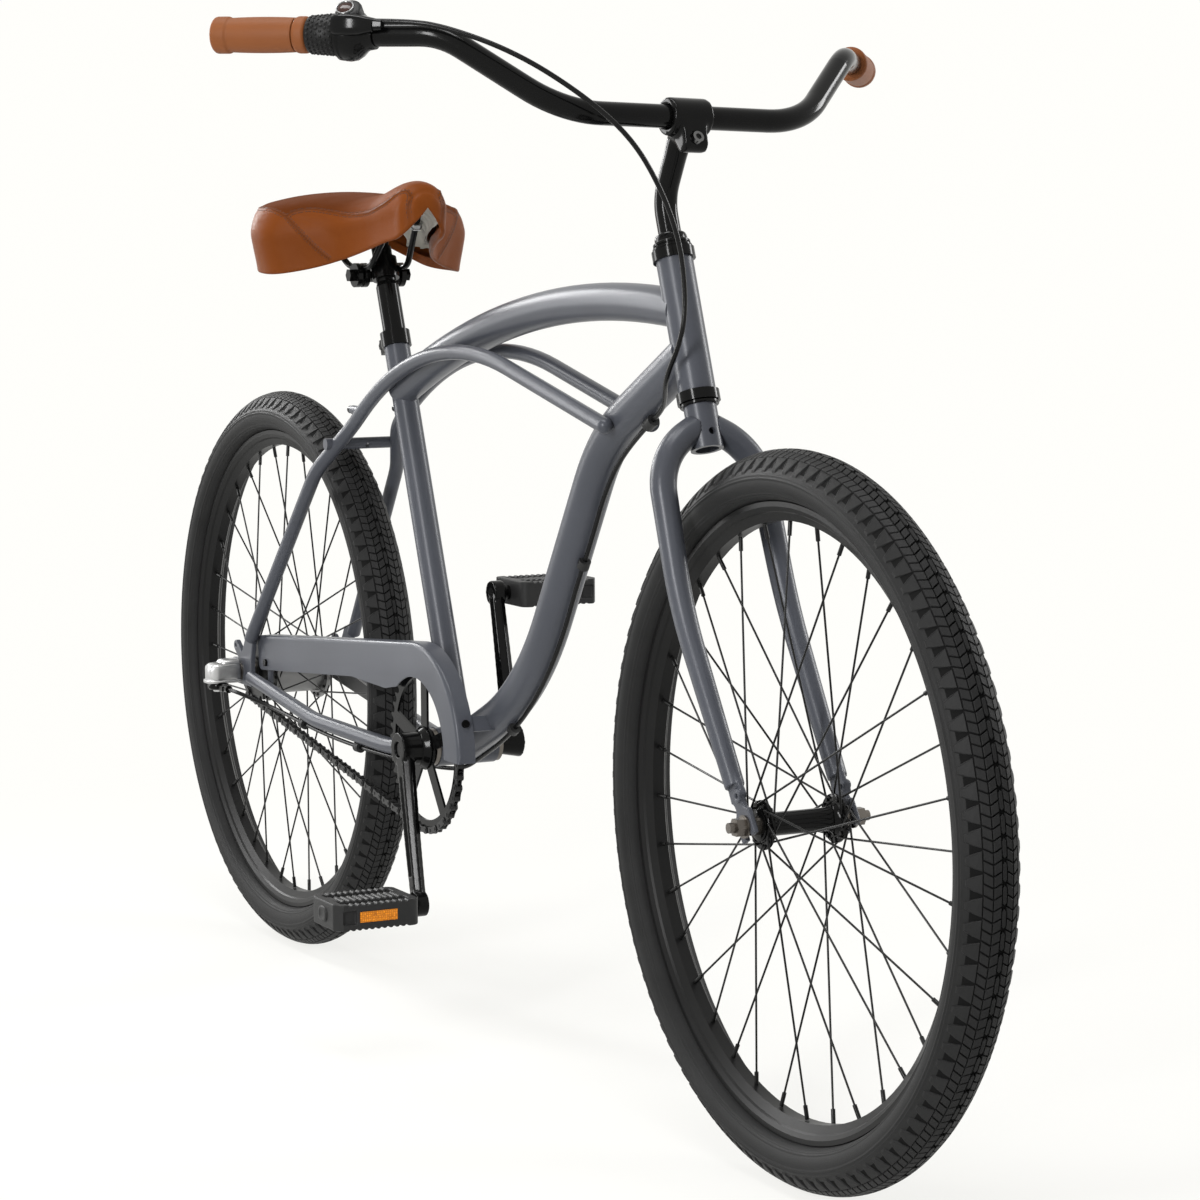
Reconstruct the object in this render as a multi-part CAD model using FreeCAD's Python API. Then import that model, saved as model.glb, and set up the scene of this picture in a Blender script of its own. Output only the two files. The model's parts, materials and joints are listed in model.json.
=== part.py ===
# Beach cruiser bicycle with a cantilever frame, in millimetres.
# +X points forward, +Y to the rider's left and +Z up.
# The origin lies on the ground, midway between the two axles.

import FreeCAD
import Part
import math
import os

Vec = FreeCAD.Vector
ORIGIN = Vec(0, 0, 0)
X_AXIS = Vec(1, 0, 0)
Y_AXIS = Vec(0, 1, 0)
Z_AXIS = Vec(0, 0, 1)
RIGHT = -1
LEFT = 1
SIDES = (RIGHT, LEFT)
FULL_TURN = 360.0

# Clearances shared by all pieces
running_clearance = 0.05
weld_gap = 0.05
seat_gap = 0.3
overrun = 5.0

# Stance
wheelbase = 1222.0
tyre_radius = 333.5
bb_drop = 27.0
nominal_chainstay = 499.0
head_angle = 69.9
seat_angle = 69.2
seat_axis_behind = 5.5
fork_offset = 48.2

# Tyres and rims
tyre_width = 57.0
tyre_bead_radius = 281.0
tyre_bead_width = 25.6
tyre_neck_radius = 287.8
tyre_wide_radius = 303.0
tyre_shoulder_radius = 319.5
tyre_shoulder_width = 47.0
tyre_wall = 3.5
tyre_tread = 6.0
tread_groove_width = 2.2
tread_groove_depth = 1.8
tread_groove_places = (-15.0, -7.0, 7.0, 15.0)
rim_width = 30.0
rim_flange_radius = 287.0
rim_side_radius = 282.5
rim_ledge_radius = 278.5
rim_ledge_width = 25.0
rim_shoulder_radius = 277.0
rim_shoulder_width = 21.0
rim_bed_radius = 269.6
rim_bed_width = 12.0
rim_wall = 2.0
rim_seat_radius = 280.8
rim_well_radius = 273.4
rim_well_width = 14.0

# Spokes
spoke_count = 36
spoke_crosses = 3
front_wheel_phase = -3.3
rear_wheel_phase = 0.0
spoke_radius = 1.0
spoke_head_radius = 1.9
spoke_head_length = 1.4
spoke_hole_clearance = 0.3
spoke_stand_off = 2.0
nipple_radius = 2.0
nipple_length = 13.0
nipple_gap = 0.8

# Front hub and axle
front_axle_radius = 4.75
front_over_locknut = 100.0
front_flange_spread = 74.0
front_flange_radius = 22.5
front_hole_circle = 18.7
front_barrel_radius = 14.0
front_neck_radius = 16.0
front_hub_length = 84.0
front_cone_radius = 8.5
front_axle_overhang = 6.0
axle_nut_across = 15.0
axle_nut_height = 9.0
axle_washer_radius = 10.5
axle_washer_height = 2.0
flange_thickness = 3.0

# Rear hub and axle
rear_axle_radius = 5.0
rear_over_locknut = 120.0
rear_flange_right = 31.0
rear_flange_left = 33.0
rear_flange_radius = 37.5
rear_hole_circle = 33.5
rear_barrel_radius = 29.0
rear_neck_radius = 31.0
rear_hub_right_end = 35.0
rear_hub_left_end = 41.0
rear_cone_radius = 11.0
driver_radius = 17.0
driver_inner_end = 36.0
driver_outer_end = 48.5
rear_left_overhang = 7.0
rear_right_overhang = 5.0

# Chain, chainring and sprocket
chain_pitch = 12.7
chainline = 44.5
chainring_teeth = 44
sprocket_teeth = 18
roller_radius = 3.85
chain_inner_width = 3.3
chain_plate = 1.1
chain_plate_gap = 0.15
chain_plate_radius = 4.1
chain_waist_radius = 3.0
chain_pin_radius = 1.8
chain_pin_proud = 0.5
tooth_thickness = 2.6
tooth_tip_height = 2.6
tooth_tip_width = 1.6
tooth_seat_angle = 5.0
chainring_rim_depth = 11.0
chainring_hub_radius = 24.0
chainring_arm_width = 15.0
chainring_arms = 5

# Bottom bracket
bb_shell_radius = 21.0
bb_shell_width = 68.0
bb_shell_bore = 17.4
bb_cup_flange_radius = 20.0
bb_cup_flange = 5.0
bb_cup_depth = 14.0
bb_spindle_radius = 8.5

# Crank arms and pedals
crank_length = 170.0
crank_rest_angle = -65.0
crank_boss_radius = 18.0
crank_boss_outer = 77.0
crank_boss_inner = 54.0
left_boss_inner = 40.0
left_boss_outer = 66.0
crank_flare = 15.0
left_boss_narrow_radius = 13.0
crank_eye_radius = 13.5
crank_eye_thickness = 13.0
crank_root_width = 27.0
crank_root_thickness = 15.0
crank_tip_width = 21.0
crank_groove_width = 8.0
crank_groove_depth = 2.5
crank_groove_margin = 30.0
crank_bolt_radius = 7.0
crank_bolt_recess = 4.0
pedal_spindle_radius = 4.6
pedal_collar_radius = 8.0
pedal_collar_length = 8.0
pedal_length = 94.0
pedal_depth = 76.0
pedal_height = 28.0
pedal_barrel_radius = 13.0
pedal_rail = 11.0
pedal_end_wall = 9.0
pedal_corner = 9.0
pedal_skid_height = 1.6
pedal_skid_pitch = 7.0
reflector_length = 42.0
reflector_height = 11.0
reflector_depth = 3.0
reflector_clearance = 0.1

# Frame tubes
head_tube_radius = 17.6
head_tube_bore = 15.2
head_tube_length = 130.0
axle_to_head_tube = 417.0
headset_cup_radius = 20.4
headset_cup_height = 10.0
headset_cup_insert = 12.0
top_tube_radius = 18.6
top_tube_below_head = 48.5
top_tube_up_seat = 404.0
top_tube_bulge = 39.5
down_tube_radius = 20.0
down_tube_above_head_foot = 39.0
down_upper_bend_ahead = 348.4
down_upper_bend_above = 350.1
down_upper_bend_radius = 200.0
down_lower_bend_ahead = 171.9
down_lower_bend_above = 76.5
down_lower_bend_radius = 330.0
seat_tube_radius = 14.3
seat_tube_length = 466.0
seat_tube_bore_length = 350.0
stay_radius = 8.0
stay_foot_ahead = 38.0
stay_foot_above = 43.0
stay_foot_side = 66.0
stay_kink_ahead = 212.0
stay_kink_above = 253.5
stay_kink_side = 50.0
stay_knee_ahead = 266.0
stay_knee_above = 305.5
stay_knee_side = 27.3
stay_crest_ahead = 473.0
stay_crest_above = 431.0
stay_crest_radius = 517.0
stay_bend_radius = 100.0
stay_tip_ahead = 893.0
stay_tip_above = 338.0
stay_tip_side = 26.0
chainstay_rear_radius = 7.6
chainstay_front_radius = 9.5
chainstay_foot_ahead = 31.0
chainstay_foot_below = 4.0
chainstay_foot_side = 64.0
chainstay_bend_ahead = 211.0
chainstay_bend_below = 33.0
chainstay_bend_side = 55.0
chainstay_front_bend_ahead = 371.0
chainstay_front_bend_below = 42.0
chainstay_front_bend_side = 35.0
chainstay_bend_radius = 260.0
chainstay_shell_below = 8.0
chainstay_shell_side = 21.0

# Rear dropouts
dropout_thickness = 6.0
dropout_slot_clearance = 0.4
dropout_slot_behind = 24.0
dropout_ahead = 36.0
dropout_above = 50.0
dropout_plate_half = 15.0
eyelet_radius = 6.5
eyelet_hole_radius = 2.5
eyelet_behind = 14.0
eyelet_above = 30.0

# Bridges, bosses and tabs on the frame
stay_bridge_radius = 6.5
stay_bridge_ahead = 240.0
stay_bridge_above = 285.0
stay_bridge_hole_radius = 3.0
stay_bridge_hole_tilt = 25.0
chainstay_bridge_radius = 7.0
chainstay_bridge_ahead = 368.0
rack_boss_radius = 5.0
rack_boss_reach = 29.0
rack_boss_up_stay = 37.0
rack_boss_bore = 2.6
rack_bolt_radius = 2.5
rack_bolt_head_radius = 4.4
rack_bolt_head_height = 7.0
guard_tab_thickness = 2.5
guard_tab_width = 16.0

# Seat clamp collar
seat_collar_radius = 16.6
seat_collar_height = 17.0
seat_collar_lip = 4.0
seat_collar_slot = 3.0
seat_collar_ear = 9.0
seat_collar_ear_width = 15.0
seat_collar_bolt_radius = 2.8

# Seatpost and saddle clamp
seatpost_radius = 12.7
seatpost_insert = 205.0
seatpost_visible = 53.6
seatpost_neck_radius = 11.1
seatpost_neck_length = 41.0
seatpost_shoulder = 5.0
clamp_band_radius = 15.0
clamp_band_height = 24.0
clamp_bolt_behind = 19.0
clamp_bolt_above_shoulder = 16.0
clamp_bolt_radius = 4.0
clamp_bolt_half_length = 36.5
clamp_nut_across = 13.0
clamp_nut_height = 6.5
clamp_ear_side = 9.0
clamp_plate_radius = 13.5
clamp_plate_thickness = 5.5

# Saddle
saddle_rail_radius = 3.5
saddle_rail_side = 22.0
saddle_rail_flat = 62.0
saddle_rail_above_bolt = 9.0
saddle_rail_nose_side = 13.0
saddle_rail_nose_ahead = 88.0
saddle_rail_nose_above = 76.0
saddle_rail_tail_side = 46.0
saddle_rail_tail_behind = 84.0
saddle_rail_tail_above = 74.0
saddle_rail_bend = 24.0
saddle_length = 266.0
saddle_half_width = 128.0
saddle_height = 103.0
saddle_nose_ahead_of_bolt = 134.5
saddle_low_above_bolt = 3.1
saddle_padding = 15.0
saddle_crown_padding = 24.0
saddle_base_wall = 4.0
# Each row: place along the saddle from the tail, half width, crown height, skirt height, shoulder width
saddle_section_shares = (
    (0.000, 0.450, 0.612, 0.369, 0.70),
    (0.050, 0.758, 0.786, 0.175, 0.76),
    (0.130, 0.883, 0.883, 0.068, 0.78),
    (0.280, 1.000, 0.874, 0.020, 0.78),
    (0.440, 0.883, 0.864, 0.020, 0.76),
    (0.580, 0.578, 0.845, 0.136, 0.72),
    (0.730, 0.390, 0.893, 0.262, 0.66),
    (0.870, 0.273, 0.961, 0.408, 0.62),
    (0.950, 0.203, 0.942, 0.485, 0.60),
    (1.000, 0.133, 0.816, 0.583, 0.60),
)
saddle_shoulder_drop_share = 0.16
saddle_side_bulge_share = 0.45
saddle_tuck_share = 0.92

# Fork
steerer_radius = 12.7
crown_radius = 15.6
crown_length = 42.0
crown_hole_radius = 3.5
crown_hole_above = 14.0
blade_top_radius = 13.6
blade_foot_radius = 9.3
blade_start_side = 6.0
blade_start_along = 384.0
blade_shoulder_side = 52.0
blade_shoulder_along = 359.0
blade_shoulder_radius = 66.0
blade_rake_side = 55.0
blade_rake_along = 212.0
blade_rake_radius = 380.0
blade_foot_side = 53.0
blade_foot_along = 38.0
blade_foot_forward = 39.0
fork_end_thickness = 5.0
fork_end_half = 13.5
fork_end_slot_clearance = 0.4
fork_end_horn = 11.5
fork_eyelet_behind = 11.0
fork_eyelet_above = 26.0
fork_eyelet_proud = 3.0

# Headset top and stem
headset_nut_radius = 17.0
headset_nut_height = 9.0
headset_race_radius = 18.5
headset_race_height = 6.0
quill_radius = 11.1
quill_depth = 62.0
stem_bend_along = 608.0
stem_bend_radius = 42.0
stem_turn = 4.77
stem_rise = 667.3
stem_reach = 58.2
stem_leg_radius = 12.6
stem_clamp_radius = 18.0
stem_clamp_width = 43.0
stem_clamp_bore_gap = 0.1
stem_lug_drop = 24.0
stem_lug_ahead = 13.0
stem_lug_radius = 9.5
stem_lug_width = 26.0
stem_bolt_head_radius = 5.6
stem_bolt_head_height = 6.0
stem_bolt_radius = 3.0

# Handlebar, grips and twist shifter
bar_radius = 11.1
bar_flat_half = 132.3
bar_bend_side = 224.0
bar_bend_back = 65.4
bar_bend_up = 67.9
bar_rise_radius = 95.8
bar_sweep_radius = 69.7
grip_angle = 39.4
grip_leg = 220.6
grip_cap = 6.0
grip_radius = 16.6
grip_waist_radius = 15.4
grip_collar_radius = 17.8
grip_collar_length = 17.0
right_grip_length = 96.0
left_grip_length = 134.0
grip_ring_length = 9.0
grip_gap = 0.3
sleeve_length = 30.0
sleeve_radius = 19.0
sleeve_outer_radius = 16.8
sleeve_rib_count = 18
sleeve_rib_radius = 1.1
housing_flange_radius = 24.0
housing_flange_length = 11.0
housing_body_radius = 19.0
housing_body_length = 25.0
housing_nose_radius = 14.5
housing_window_radius = 10.5
housing_window_height = 4.0
housing_window_up = 22.0
housing_window_back = 3.0
housing_turret_radius = 13.0
housing_turret_foot = 13.3
nozzle_radius = 5.2
nozzle_tip_radius = 3.8
nozzle_length = 26.0
nozzle_up = 17.0
nozzle_ahead = 13.0

# Chain guard
guard_face_side = 57.5
guard_sheet = 1.6
guard_flange = 20.0
guard_outer_radius = 114.0
guard_inner_radius = 77.0
guard_rise_angle = 5.0
guard_length_behind_crank = 452.0
guard_tail_depth = 41.0
guard_mouth_angle = 127.0
guard_tip_behind = 78.0
guard_tip_above = 56.0
guard_low_behind = 172.0
guard_low_above = 58.0
guard_toe_drop = 2.0
guard_corner_radius = 9.0
guard_screw_radius = 2.5
guard_screw_head_radius = 4.2
guard_screw_head = 2.6
guard_screw_angle = 20.0
guard_tail_screw_behind = 434.0
guard_tail_screw_above = 44.0
guard_stub_radius = 4.0
guard_stub_leg_radius = 3.2

# Coaster brake arm on the left chainstay
brake_arm_length = 168.0
brake_arm_width = 22.0
brake_arm_tip_width = 15.0
brake_arm_thickness = 3.0
brake_arm_side = 46.5
brake_arm_drop_angle = 9.0
brake_strap_thickness = 1.6
brake_strap_width = 13.0

# Hub shift unit and its bell crank
shift_cover_start = 70.0
shift_cover_end = 108.0
shift_cover_width = 28.0
shift_cover_height = 25.0
shift_cover_corner = 9.0
shift_cover_bore = 9.4
shift_cover_bore_depth = 17.0
shift_pivot_side = 94.0
shift_pivot_radius = 3.0
shift_pivot_head = 3.0
bell_plate = 6.0
bell_gap = 0.4
bell_eye_radius = 8.5
bell_arm_length = 27.0
bell_arm_width = 11.0
bell_anchor_radius = 4.5
bell_anchor_length = 9.0

# Shift cable: its run from the twist shifter to the frame, then along the frame to the bell crank
cable_radius = 2.4
cord_bend_share = 0.45
cable_in_nozzle = 16.0
cable_out_of_nozzle = 20.0
clip_radius = 6.2
clip_length = 9.0
stop_length = 14.0
steering_cable_route = (
    (356, -224, 1049),
    (393, -172, 1021),
    (418, -118, 984),
    (437, -77, 945),
    (440, -48, 900),
    (441, -28, 850),
    (441, -22, 799),
    (442, -26, 762),
    (415, -30, 722),
    (383, -13, 703),
    (352, 0, 688),
    (322, 0, 672.7),
)
frame_cable_route = (
    (321.7, 0, 672.5),
    (272, 0, 645.2),
    (230.7, 0, 602.9),
    (198.1, 1.5, 552.6),
    (165.6, 0, 502.2),
    (132.3, 1.5, 449.4),
    (92.4, 0, 398.7),
    (43.7, 0, 356.3),
    (-10.5, 0, 323.8),
    (-65.5, 0, 299.3),
    (-100, -6, 281.5),
    (-150, -19, 278.5),
    (-205, -28.5, 279.3),
    (-270, -37.5, 280),
    (-335, -46.5, 283.2),
    (-400, -54, 288.7),
    (-462, -59.5, 296.7),
    (-515, -69, 304.5),
    (-542, -87, 314),
    (-561, -93.7, 317.5),
    (-580, -94, 317.6),
)


def rod(start, end, radius):
    axis = end - start
    return Part.makeCylinder(radius, axis.Length, start, axis)


def cone(start, end, start_radius, end_radius):
    axis = end - start
    return Part.makeCone(start_radius, end_radius, axis.Length, start, axis)


def hollow_rod(start, end, outer, inner):
    return rod(start, end, outer).cut(rod(start, end, inner))


def block(centre, size_x, size_y, size_z):
    corner = centre - Vec(size_x / 2, size_y / 2, size_z / 2)
    return Part.makeBox(size_x, size_y, size_z, corner)


def turned(shape, point, axis, angle):
    copy = shape.copy()
    copy.rotate(point, axis, angle)
    return copy


def moved(shape, offset):
    copy = shape.copy()
    copy.translate(offset)
    return copy


def largest(shape):
    return max(shape.Solids, key=lambda solid: solid.Volume)


def fused(pieces):
    whole = pieces[0]
    if len(pieces) > 1:
        whole = whole.multiFuse(pieces[1:])
    return whole.removeSplitter()


def hexagon_nut(start, axis, across, height, bore):
    direction = Vec(axis).normalize()
    side = X_AXIS if abs(direction.x) < abs(direction.y) + abs(direction.z) else Z_AXIS
    side = (side - direction * side.dot(direction)).normalize()
    corner_radius = across / math.sqrt(3)
    points = []
    for step in range(7):
        spoke = FreeCAD.Rotation(direction, step * FULL_TURN / 6).multVec(side)
        points.append(start + spoke * corner_radius)
    prism = Part.Face(Part.makePolygon(points)).extrude(direction * height)
    return prism.cut(rod(start - direction * overrun, start + direction * (height + overrun), bore))


def rounded_path(points, radii):
    edges = []
    here = points[0]
    for before, corner, after, radius in zip(points, points[1:], points[2:], radii):
        back = (before - corner).normalize()
        ahead = (after - corner).normalize()
        half = math.acos(max(-1.0, min(1.0, back.dot(ahead)))) / 2
        reach = radius / math.tan(half)
        bisector = (back + ahead).normalize()
        middle = corner + bisector * (radius / math.sin(half) - radius)
        arc_start = corner + back * reach
        arc_end = corner + ahead * reach
        edges.append(Part.LineSegment(here, arc_start).toShape())
        edges.append(Part.Arc(arc_start, middle, arc_end).toShape())
        here = arc_end
    edges.append(Part.LineSegment(here, points[-1]).toShape())
    return Part.Wire(edges)


def ring_at(point, direction, radius):
    return Part.Wire(Part.makeCircle(radius, point, direction))


def swept(points, radii, radius):
    profile = ring_at(points[0], points[1] - points[0], radius)
    return rounded_path(points, radii).makePipeShell([profile], True, False)


def tapered(points, radii, start_radius, end_radius):
    first = ring_at(points[0], points[1] - points[0], start_radius)
    last = ring_at(points[-1], points[-1] - points[-2], end_radius)
    return rounded_path(points, radii).makePipeShell([first, last], True, False)


def plate(points, side, thickness):
    outline = [Vec(point.x, side, point.z) for point in points]
    outline.append(outline[0])
    return Part.Face(Part.makePolygon(outline)).extrude(Y_AXIS * thickness)


def revolved(edges, centre):
    face = Part.Face(Part.Wire(edges))
    return moved(face.revolve(ORIGIN, Y_AXIS, FULL_TURN), centre)


def profile_edges(points):
    closed = points + [points[0]]
    return [Part.LineSegment(start, end).toShape() for start, end in zip(closed, closed[1:])]


def lathe(steps, centre):
    points = [Vec(0, side, radius) for side, radius in steps]
    return revolved(profile_edges(points), centre)


# Chain drive: the centre distance comes from a whole, even number of links
chainring_pitch_radius = chain_pitch / (2 * math.sin(math.pi / chainring_teeth))
sprocket_pitch_radius = chain_pitch / (2 * math.sin(math.pi / sprocket_teeth))


def belt_tilt(distance):
    return math.asin((chainring_pitch_radius - sprocket_pitch_radius) / distance)


def belt_run(distance):
    return distance * math.cos(belt_tilt(distance))


def belt_length(distance):
    tilt = belt_tilt(distance)
    around_ring = (math.pi + 2 * tilt) * chainring_pitch_radius
    around_sprocket = (math.pi - 2 * tilt) * sprocket_pitch_radius
    return 2 * belt_run(distance) + around_ring + around_sprocket


def belt_point(travel, distance):
    tilt = belt_tilt(distance)
    run = belt_run(distance)
    around_ring = (math.pi + 2 * tilt) * chainring_pitch_radius
    travel = travel % belt_length(distance)
    top_angle = math.pi / 2 + tilt
    if travel < run:
        away = sprocket_pitch_radius
        return (away * math.cos(top_angle) + travel * math.cos(tilt),
                away * math.sin(top_angle) + travel * math.sin(tilt))
    travel -= run
    if travel < around_ring:
        angle = top_angle - travel / chainring_pitch_radius
        return (distance + chainring_pitch_radius * math.cos(angle),
                chainring_pitch_radius * math.sin(angle))
    travel -= around_ring
    if travel < run:
        left = run - travel
        away = sprocket_pitch_radius
        return (away * math.cos(top_angle) + left * math.cos(tilt),
                -away * math.sin(top_angle) - left * math.sin(tilt))
    angle = -top_angle - (travel - run) / sprocket_pitch_radius
    return (sprocket_pitch_radius * math.cos(angle), sprocket_pitch_radius * math.sin(angle))


def next_roller(travel, distance):
    here = belt_point(travel, distance)
    low = chain_pitch / 2
    high = chain_pitch * 2
    for _ in range(48):
        middle = (low + high) / 2
        there = belt_point(travel + middle, distance)
        if math.dist(here, there) < chain_pitch:
            low = middle
        else:
            high = middle
    return travel + low


def roller_travels(distance, count):
    travels = [0.0]
    for _ in range(count):
        travels.append(next_roller(travels[-1], distance))
    return travels


def fitted_distance(count):
    low = nominal_chainstay - chain_pitch
    high = nominal_chainstay + chain_pitch
    for _ in range(48):
        middle = (low + high) / 2
        if roller_travels(middle, count)[-1] > belt_length(middle):
            low = middle
        else:
            high = middle
    return (low + high) / 2


chain_links = 2 * round(belt_length(nominal_chainstay) / (2 * chain_pitch))
chainstay_length = fitted_distance(chain_links)

# Main points of the frame
rear_axle_point = Vec(-wheelbase / 2, 0, tyre_radius)
front_axle_point = Vec(wheelbase / 2, 0, tyre_radius)
bb_point = rear_axle_point + Vec(math.sqrt(chainstay_length ** 2 - bb_drop ** 2), 0, -bb_drop)
steer_up = Vec(-math.cos(math.radians(head_angle)), 0, math.sin(math.radians(head_angle)))
steer_forward = Vec(math.sin(math.radians(head_angle)), 0, math.cos(math.radians(head_angle)))
steer_foot = front_axle_point - steer_forward * fork_offset
seat_up = Vec(-math.cos(math.radians(seat_angle)), 0, math.sin(math.radians(seat_angle)))
seat_forward = Vec(math.sin(math.radians(seat_angle)), 0, math.cos(math.radians(seat_angle)))
head_top_along = axle_to_head_tube + head_tube_length


def on_steer(along, side=0.0, forward=0.0):
    return steer_foot + steer_up * along + Y_AXIS * side + steer_forward * forward


def on_seat(along, side=0.0, forward=0.0):
    foot = bb_point - X_AXIS * seat_axis_behind
    return foot + seat_up * along + Y_AXIS * side + seat_forward * forward


def from_rear(ahead, side, above):
    return rear_axle_point + Vec(ahead, side, above)


def from_bb(ahead, side, above):
    return bb_point + Vec(ahead, side, above)


# Front triangle
def head_tube_rod():
    return rod(on_steer(axle_to_head_tube), on_steer(head_top_along), head_tube_radius)


def make_head_tube():
    return head_tube_rod().cut(rod(on_steer(axle_to_head_tube), on_steer(head_top_along), head_tube_bore))


def seat_tube_rod():
    return rod(on_seat(0), on_seat(seat_tube_length), seat_tube_radius)


def bb_shell_rod():
    return rod(from_bb(0, -bb_shell_width / 2, 0), from_bb(0, bb_shell_width / 2, 0), bb_shell_radius)


def make_bb_shell():
    return bb_shell_rod().cut(
        rod(from_bb(0, -bb_shell_width, 0), from_bb(0, bb_shell_width, 0), bb_shell_bore))


def make_seat_tube():
    bore_start = on_seat(seat_tube_length - seat_tube_bore_length)
    bore_end = on_seat(seat_tube_length + overrun)
    tube = seat_tube_rod().cut(rod(bore_start, bore_end, seatpost_radius + running_clearance))
    return largest(tube.cut(bb_shell_rod()))


def down_tube_points():
    return [
        on_steer(axle_to_head_tube + down_tube_above_head_foot),
        from_bb(down_upper_bend_ahead, 0, down_upper_bend_above),
        from_bb(down_lower_bend_ahead, 0, down_lower_bend_above),
        bb_point,
    ]


def down_tube_rod():
    return swept(down_tube_points(), [down_upper_bend_radius, down_lower_bend_radius], down_tube_radius)


def make_down_tube():
    tube = down_tube_rod().cut(head_tube_rod())
    tube = largest(tube).cut(bb_shell_rod())
    return largest(largest(tube).cut(seat_tube_rod()))


def top_tube_rod():
    front = on_steer(head_top_along - top_tube_below_head)
    rear = on_seat(top_tube_up_seat)
    chord = front - rear
    crown = (front + rear) * 0.5 + Y_AXIS.cross(chord).normalize() * -top_tube_bulge
    arc = Part.Arc(rear, crown, front)
    start_direction = arc.tangent(arc.FirstParameter)[0]
    profile = ring_at(rear, start_direction, top_tube_radius)
    return Part.Wire(arc.toShape()).makePipeShell([profile], True, False)


def make_top_tube():
    tube = largest(top_tube_rod().cut(head_tube_rod()))
    return largest(tube.cut(seat_tube_rod()))


# Cantilever stays and chainstays
def stay_points(side):
    return [
        from_rear(stay_foot_ahead, side * stay_foot_side, stay_foot_above),
        from_rear(stay_kink_ahead, side * stay_kink_side, stay_kink_above),
        from_rear(stay_knee_ahead, side * stay_knee_side, stay_knee_above),
        from_rear(stay_crest_ahead, side * stay_knee_side, stay_crest_above),
        from_rear(stay_tip_ahead, side * stay_tip_side, stay_tip_above),
    ]


def stay_rod(side):
    points = stay_points(side)
    tube = swept(points, [stay_bend_radius, stay_bend_radius, stay_crest_radius], stay_radius)
    return fused([tube, Part.makeSphere(stay_radius, points[-1])])


def make_stay(side):
    tube = largest(stay_rod(side).cut(down_tube_rod()))
    return largest(tube.cut(dropout_blank(side)))


def chainstay_points(side):
    return [
        from_rear(chainstay_foot_ahead, side * chainstay_foot_side, -chainstay_foot_below),
        from_rear(chainstay_bend_ahead, side * chainstay_bend_side, -chainstay_bend_below),
        from_rear(chainstay_front_bend_ahead, side * chainstay_front_bend_side, -chainstay_front_bend_below),
        from_bb(0, side * chainstay_shell_side, -chainstay_shell_below),
    ]


def chainstay_rod(side):
    radii = [chainstay_bend_radius, chainstay_bend_radius]
    return tapered(chainstay_points(side), radii, chainstay_rear_radius, chainstay_front_radius)


def make_chainstay(side):
    tube = largest(chainstay_rod(side).cut(bb_shell_rod()))
    return largest(tube.cut(dropout_blank(side)))


# Rear dropouts, with a slot that opens to the rear and two threaded eyelets each
def dropout_inner_side(side):
    inner = rear_over_locknut / 2
    return inner if side == LEFT else -inner - dropout_thickness


def dropout_blank(side):
    half = dropout_plate_half
    low_front = from_rear(dropout_ahead, 0, -half)
    outline = [
        from_rear(-dropout_slot_behind, 0, -half),
        low_front,
        from_rear(dropout_ahead, 0, half),
        from_rear(stay_foot_ahead + half / 2, 0, dropout_above),
        from_rear(stay_foot_ahead - half, 0, dropout_above),
        from_rear(0, 0, half),
        from_rear(-dropout_slot_behind, 0, half),
    ]
    return plate(outline, dropout_inner_side(side), dropout_thickness)


def dropout_eyelet(side):
    start = from_rear(-eyelet_behind, dropout_inner_side(side), eyelet_above)
    end = start + Y_AXIS * dropout_thickness
    neck_end = from_rear(eyelet_radius, 0, dropout_plate_half)
    centre = from_rear(-eyelet_behind, 0, eyelet_above)
    across = (neck_end - centre).normalize().cross(Y_AXIS) * eyelet_radius
    neck = plate([centre + across, neck_end + across, neck_end - across, centre - across],
                 dropout_inner_side(side), dropout_thickness)
    return rod(start, end, eyelet_radius), neck, rod(start - Y_AXIS * overrun, end + Y_AXIS * overrun,
                                                     eyelet_hole_radius)


def make_dropout(side):
    lug, neck, hole = dropout_eyelet(side)
    body = fused([dropout_blank(side), lug, neck])
    slot_half = rear_axle_radius + dropout_slot_clearance
    slot_length = dropout_slot_behind + overrun
    middle = from_rear(-slot_length / 2, dropout_inner_side(side) + dropout_thickness / 2, 0)
    slot = block(middle, slot_length, dropout_thickness + 2 * overrun, 2 * slot_half)
    round_end = rod(from_rear(0, dropout_inner_side(side) - overrun, 0),
                    from_rear(0, dropout_inner_side(side) + dropout_thickness + overrun, 0), slot_half)
    return body.cut(hole).cut(slot).cut(round_end)


# Bridges between the stays, rack bosses and the chain guard tab
def stay_bridge_hole_axis():
    tilt = math.radians(stay_bridge_hole_tilt)
    return Vec(-math.cos(tilt), 0, math.sin(tilt))


def make_stay_bridge():
    half = stay_kink_side
    centre = from_rear(stay_bridge_ahead, 0, stay_bridge_above)
    bridge = rod(centre - Y_AXIS * half, centre + Y_AXIS * half, stay_bridge_radius)
    for side in SIDES:
        bridge = largest(bridge.cut(stay_rod(side)))
    across = stay_bridge_hole_axis() * (stay_bridge_radius + overrun)
    return bridge.cut(rod(centre - across, centre + across, stay_bridge_hole_radius))


def make_chainstay_bridge():
    half = chainstay_bend_side
    below = -chainstay_front_bend_below
    centre = from_rear(chainstay_bridge_ahead, 0, below)
    bridge = rod(centre - Y_AXIS * half, centre + Y_AXIS * half, chainstay_bridge_radius)
    for side in SIDES:
        bridge = largest(bridge.cut(chainstay_rod(side)))
    return bridge


def rack_boss_axis(side):
    knee, crest = stay_points(side)[2:4]
    root = knee + (crest - knee).normalize() * rack_boss_up_stay
    return root, root - X_AXIS * rack_boss_reach


def make_rack_boss(side):
    root, seat = rack_boss_axis(side)
    boss = largest(rod(root, seat, rack_boss_radius).cut(stay_rod(side)))
    return boss.cut(rod(root, seat - X_AXIS * overrun, rack_boss_bore))


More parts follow.
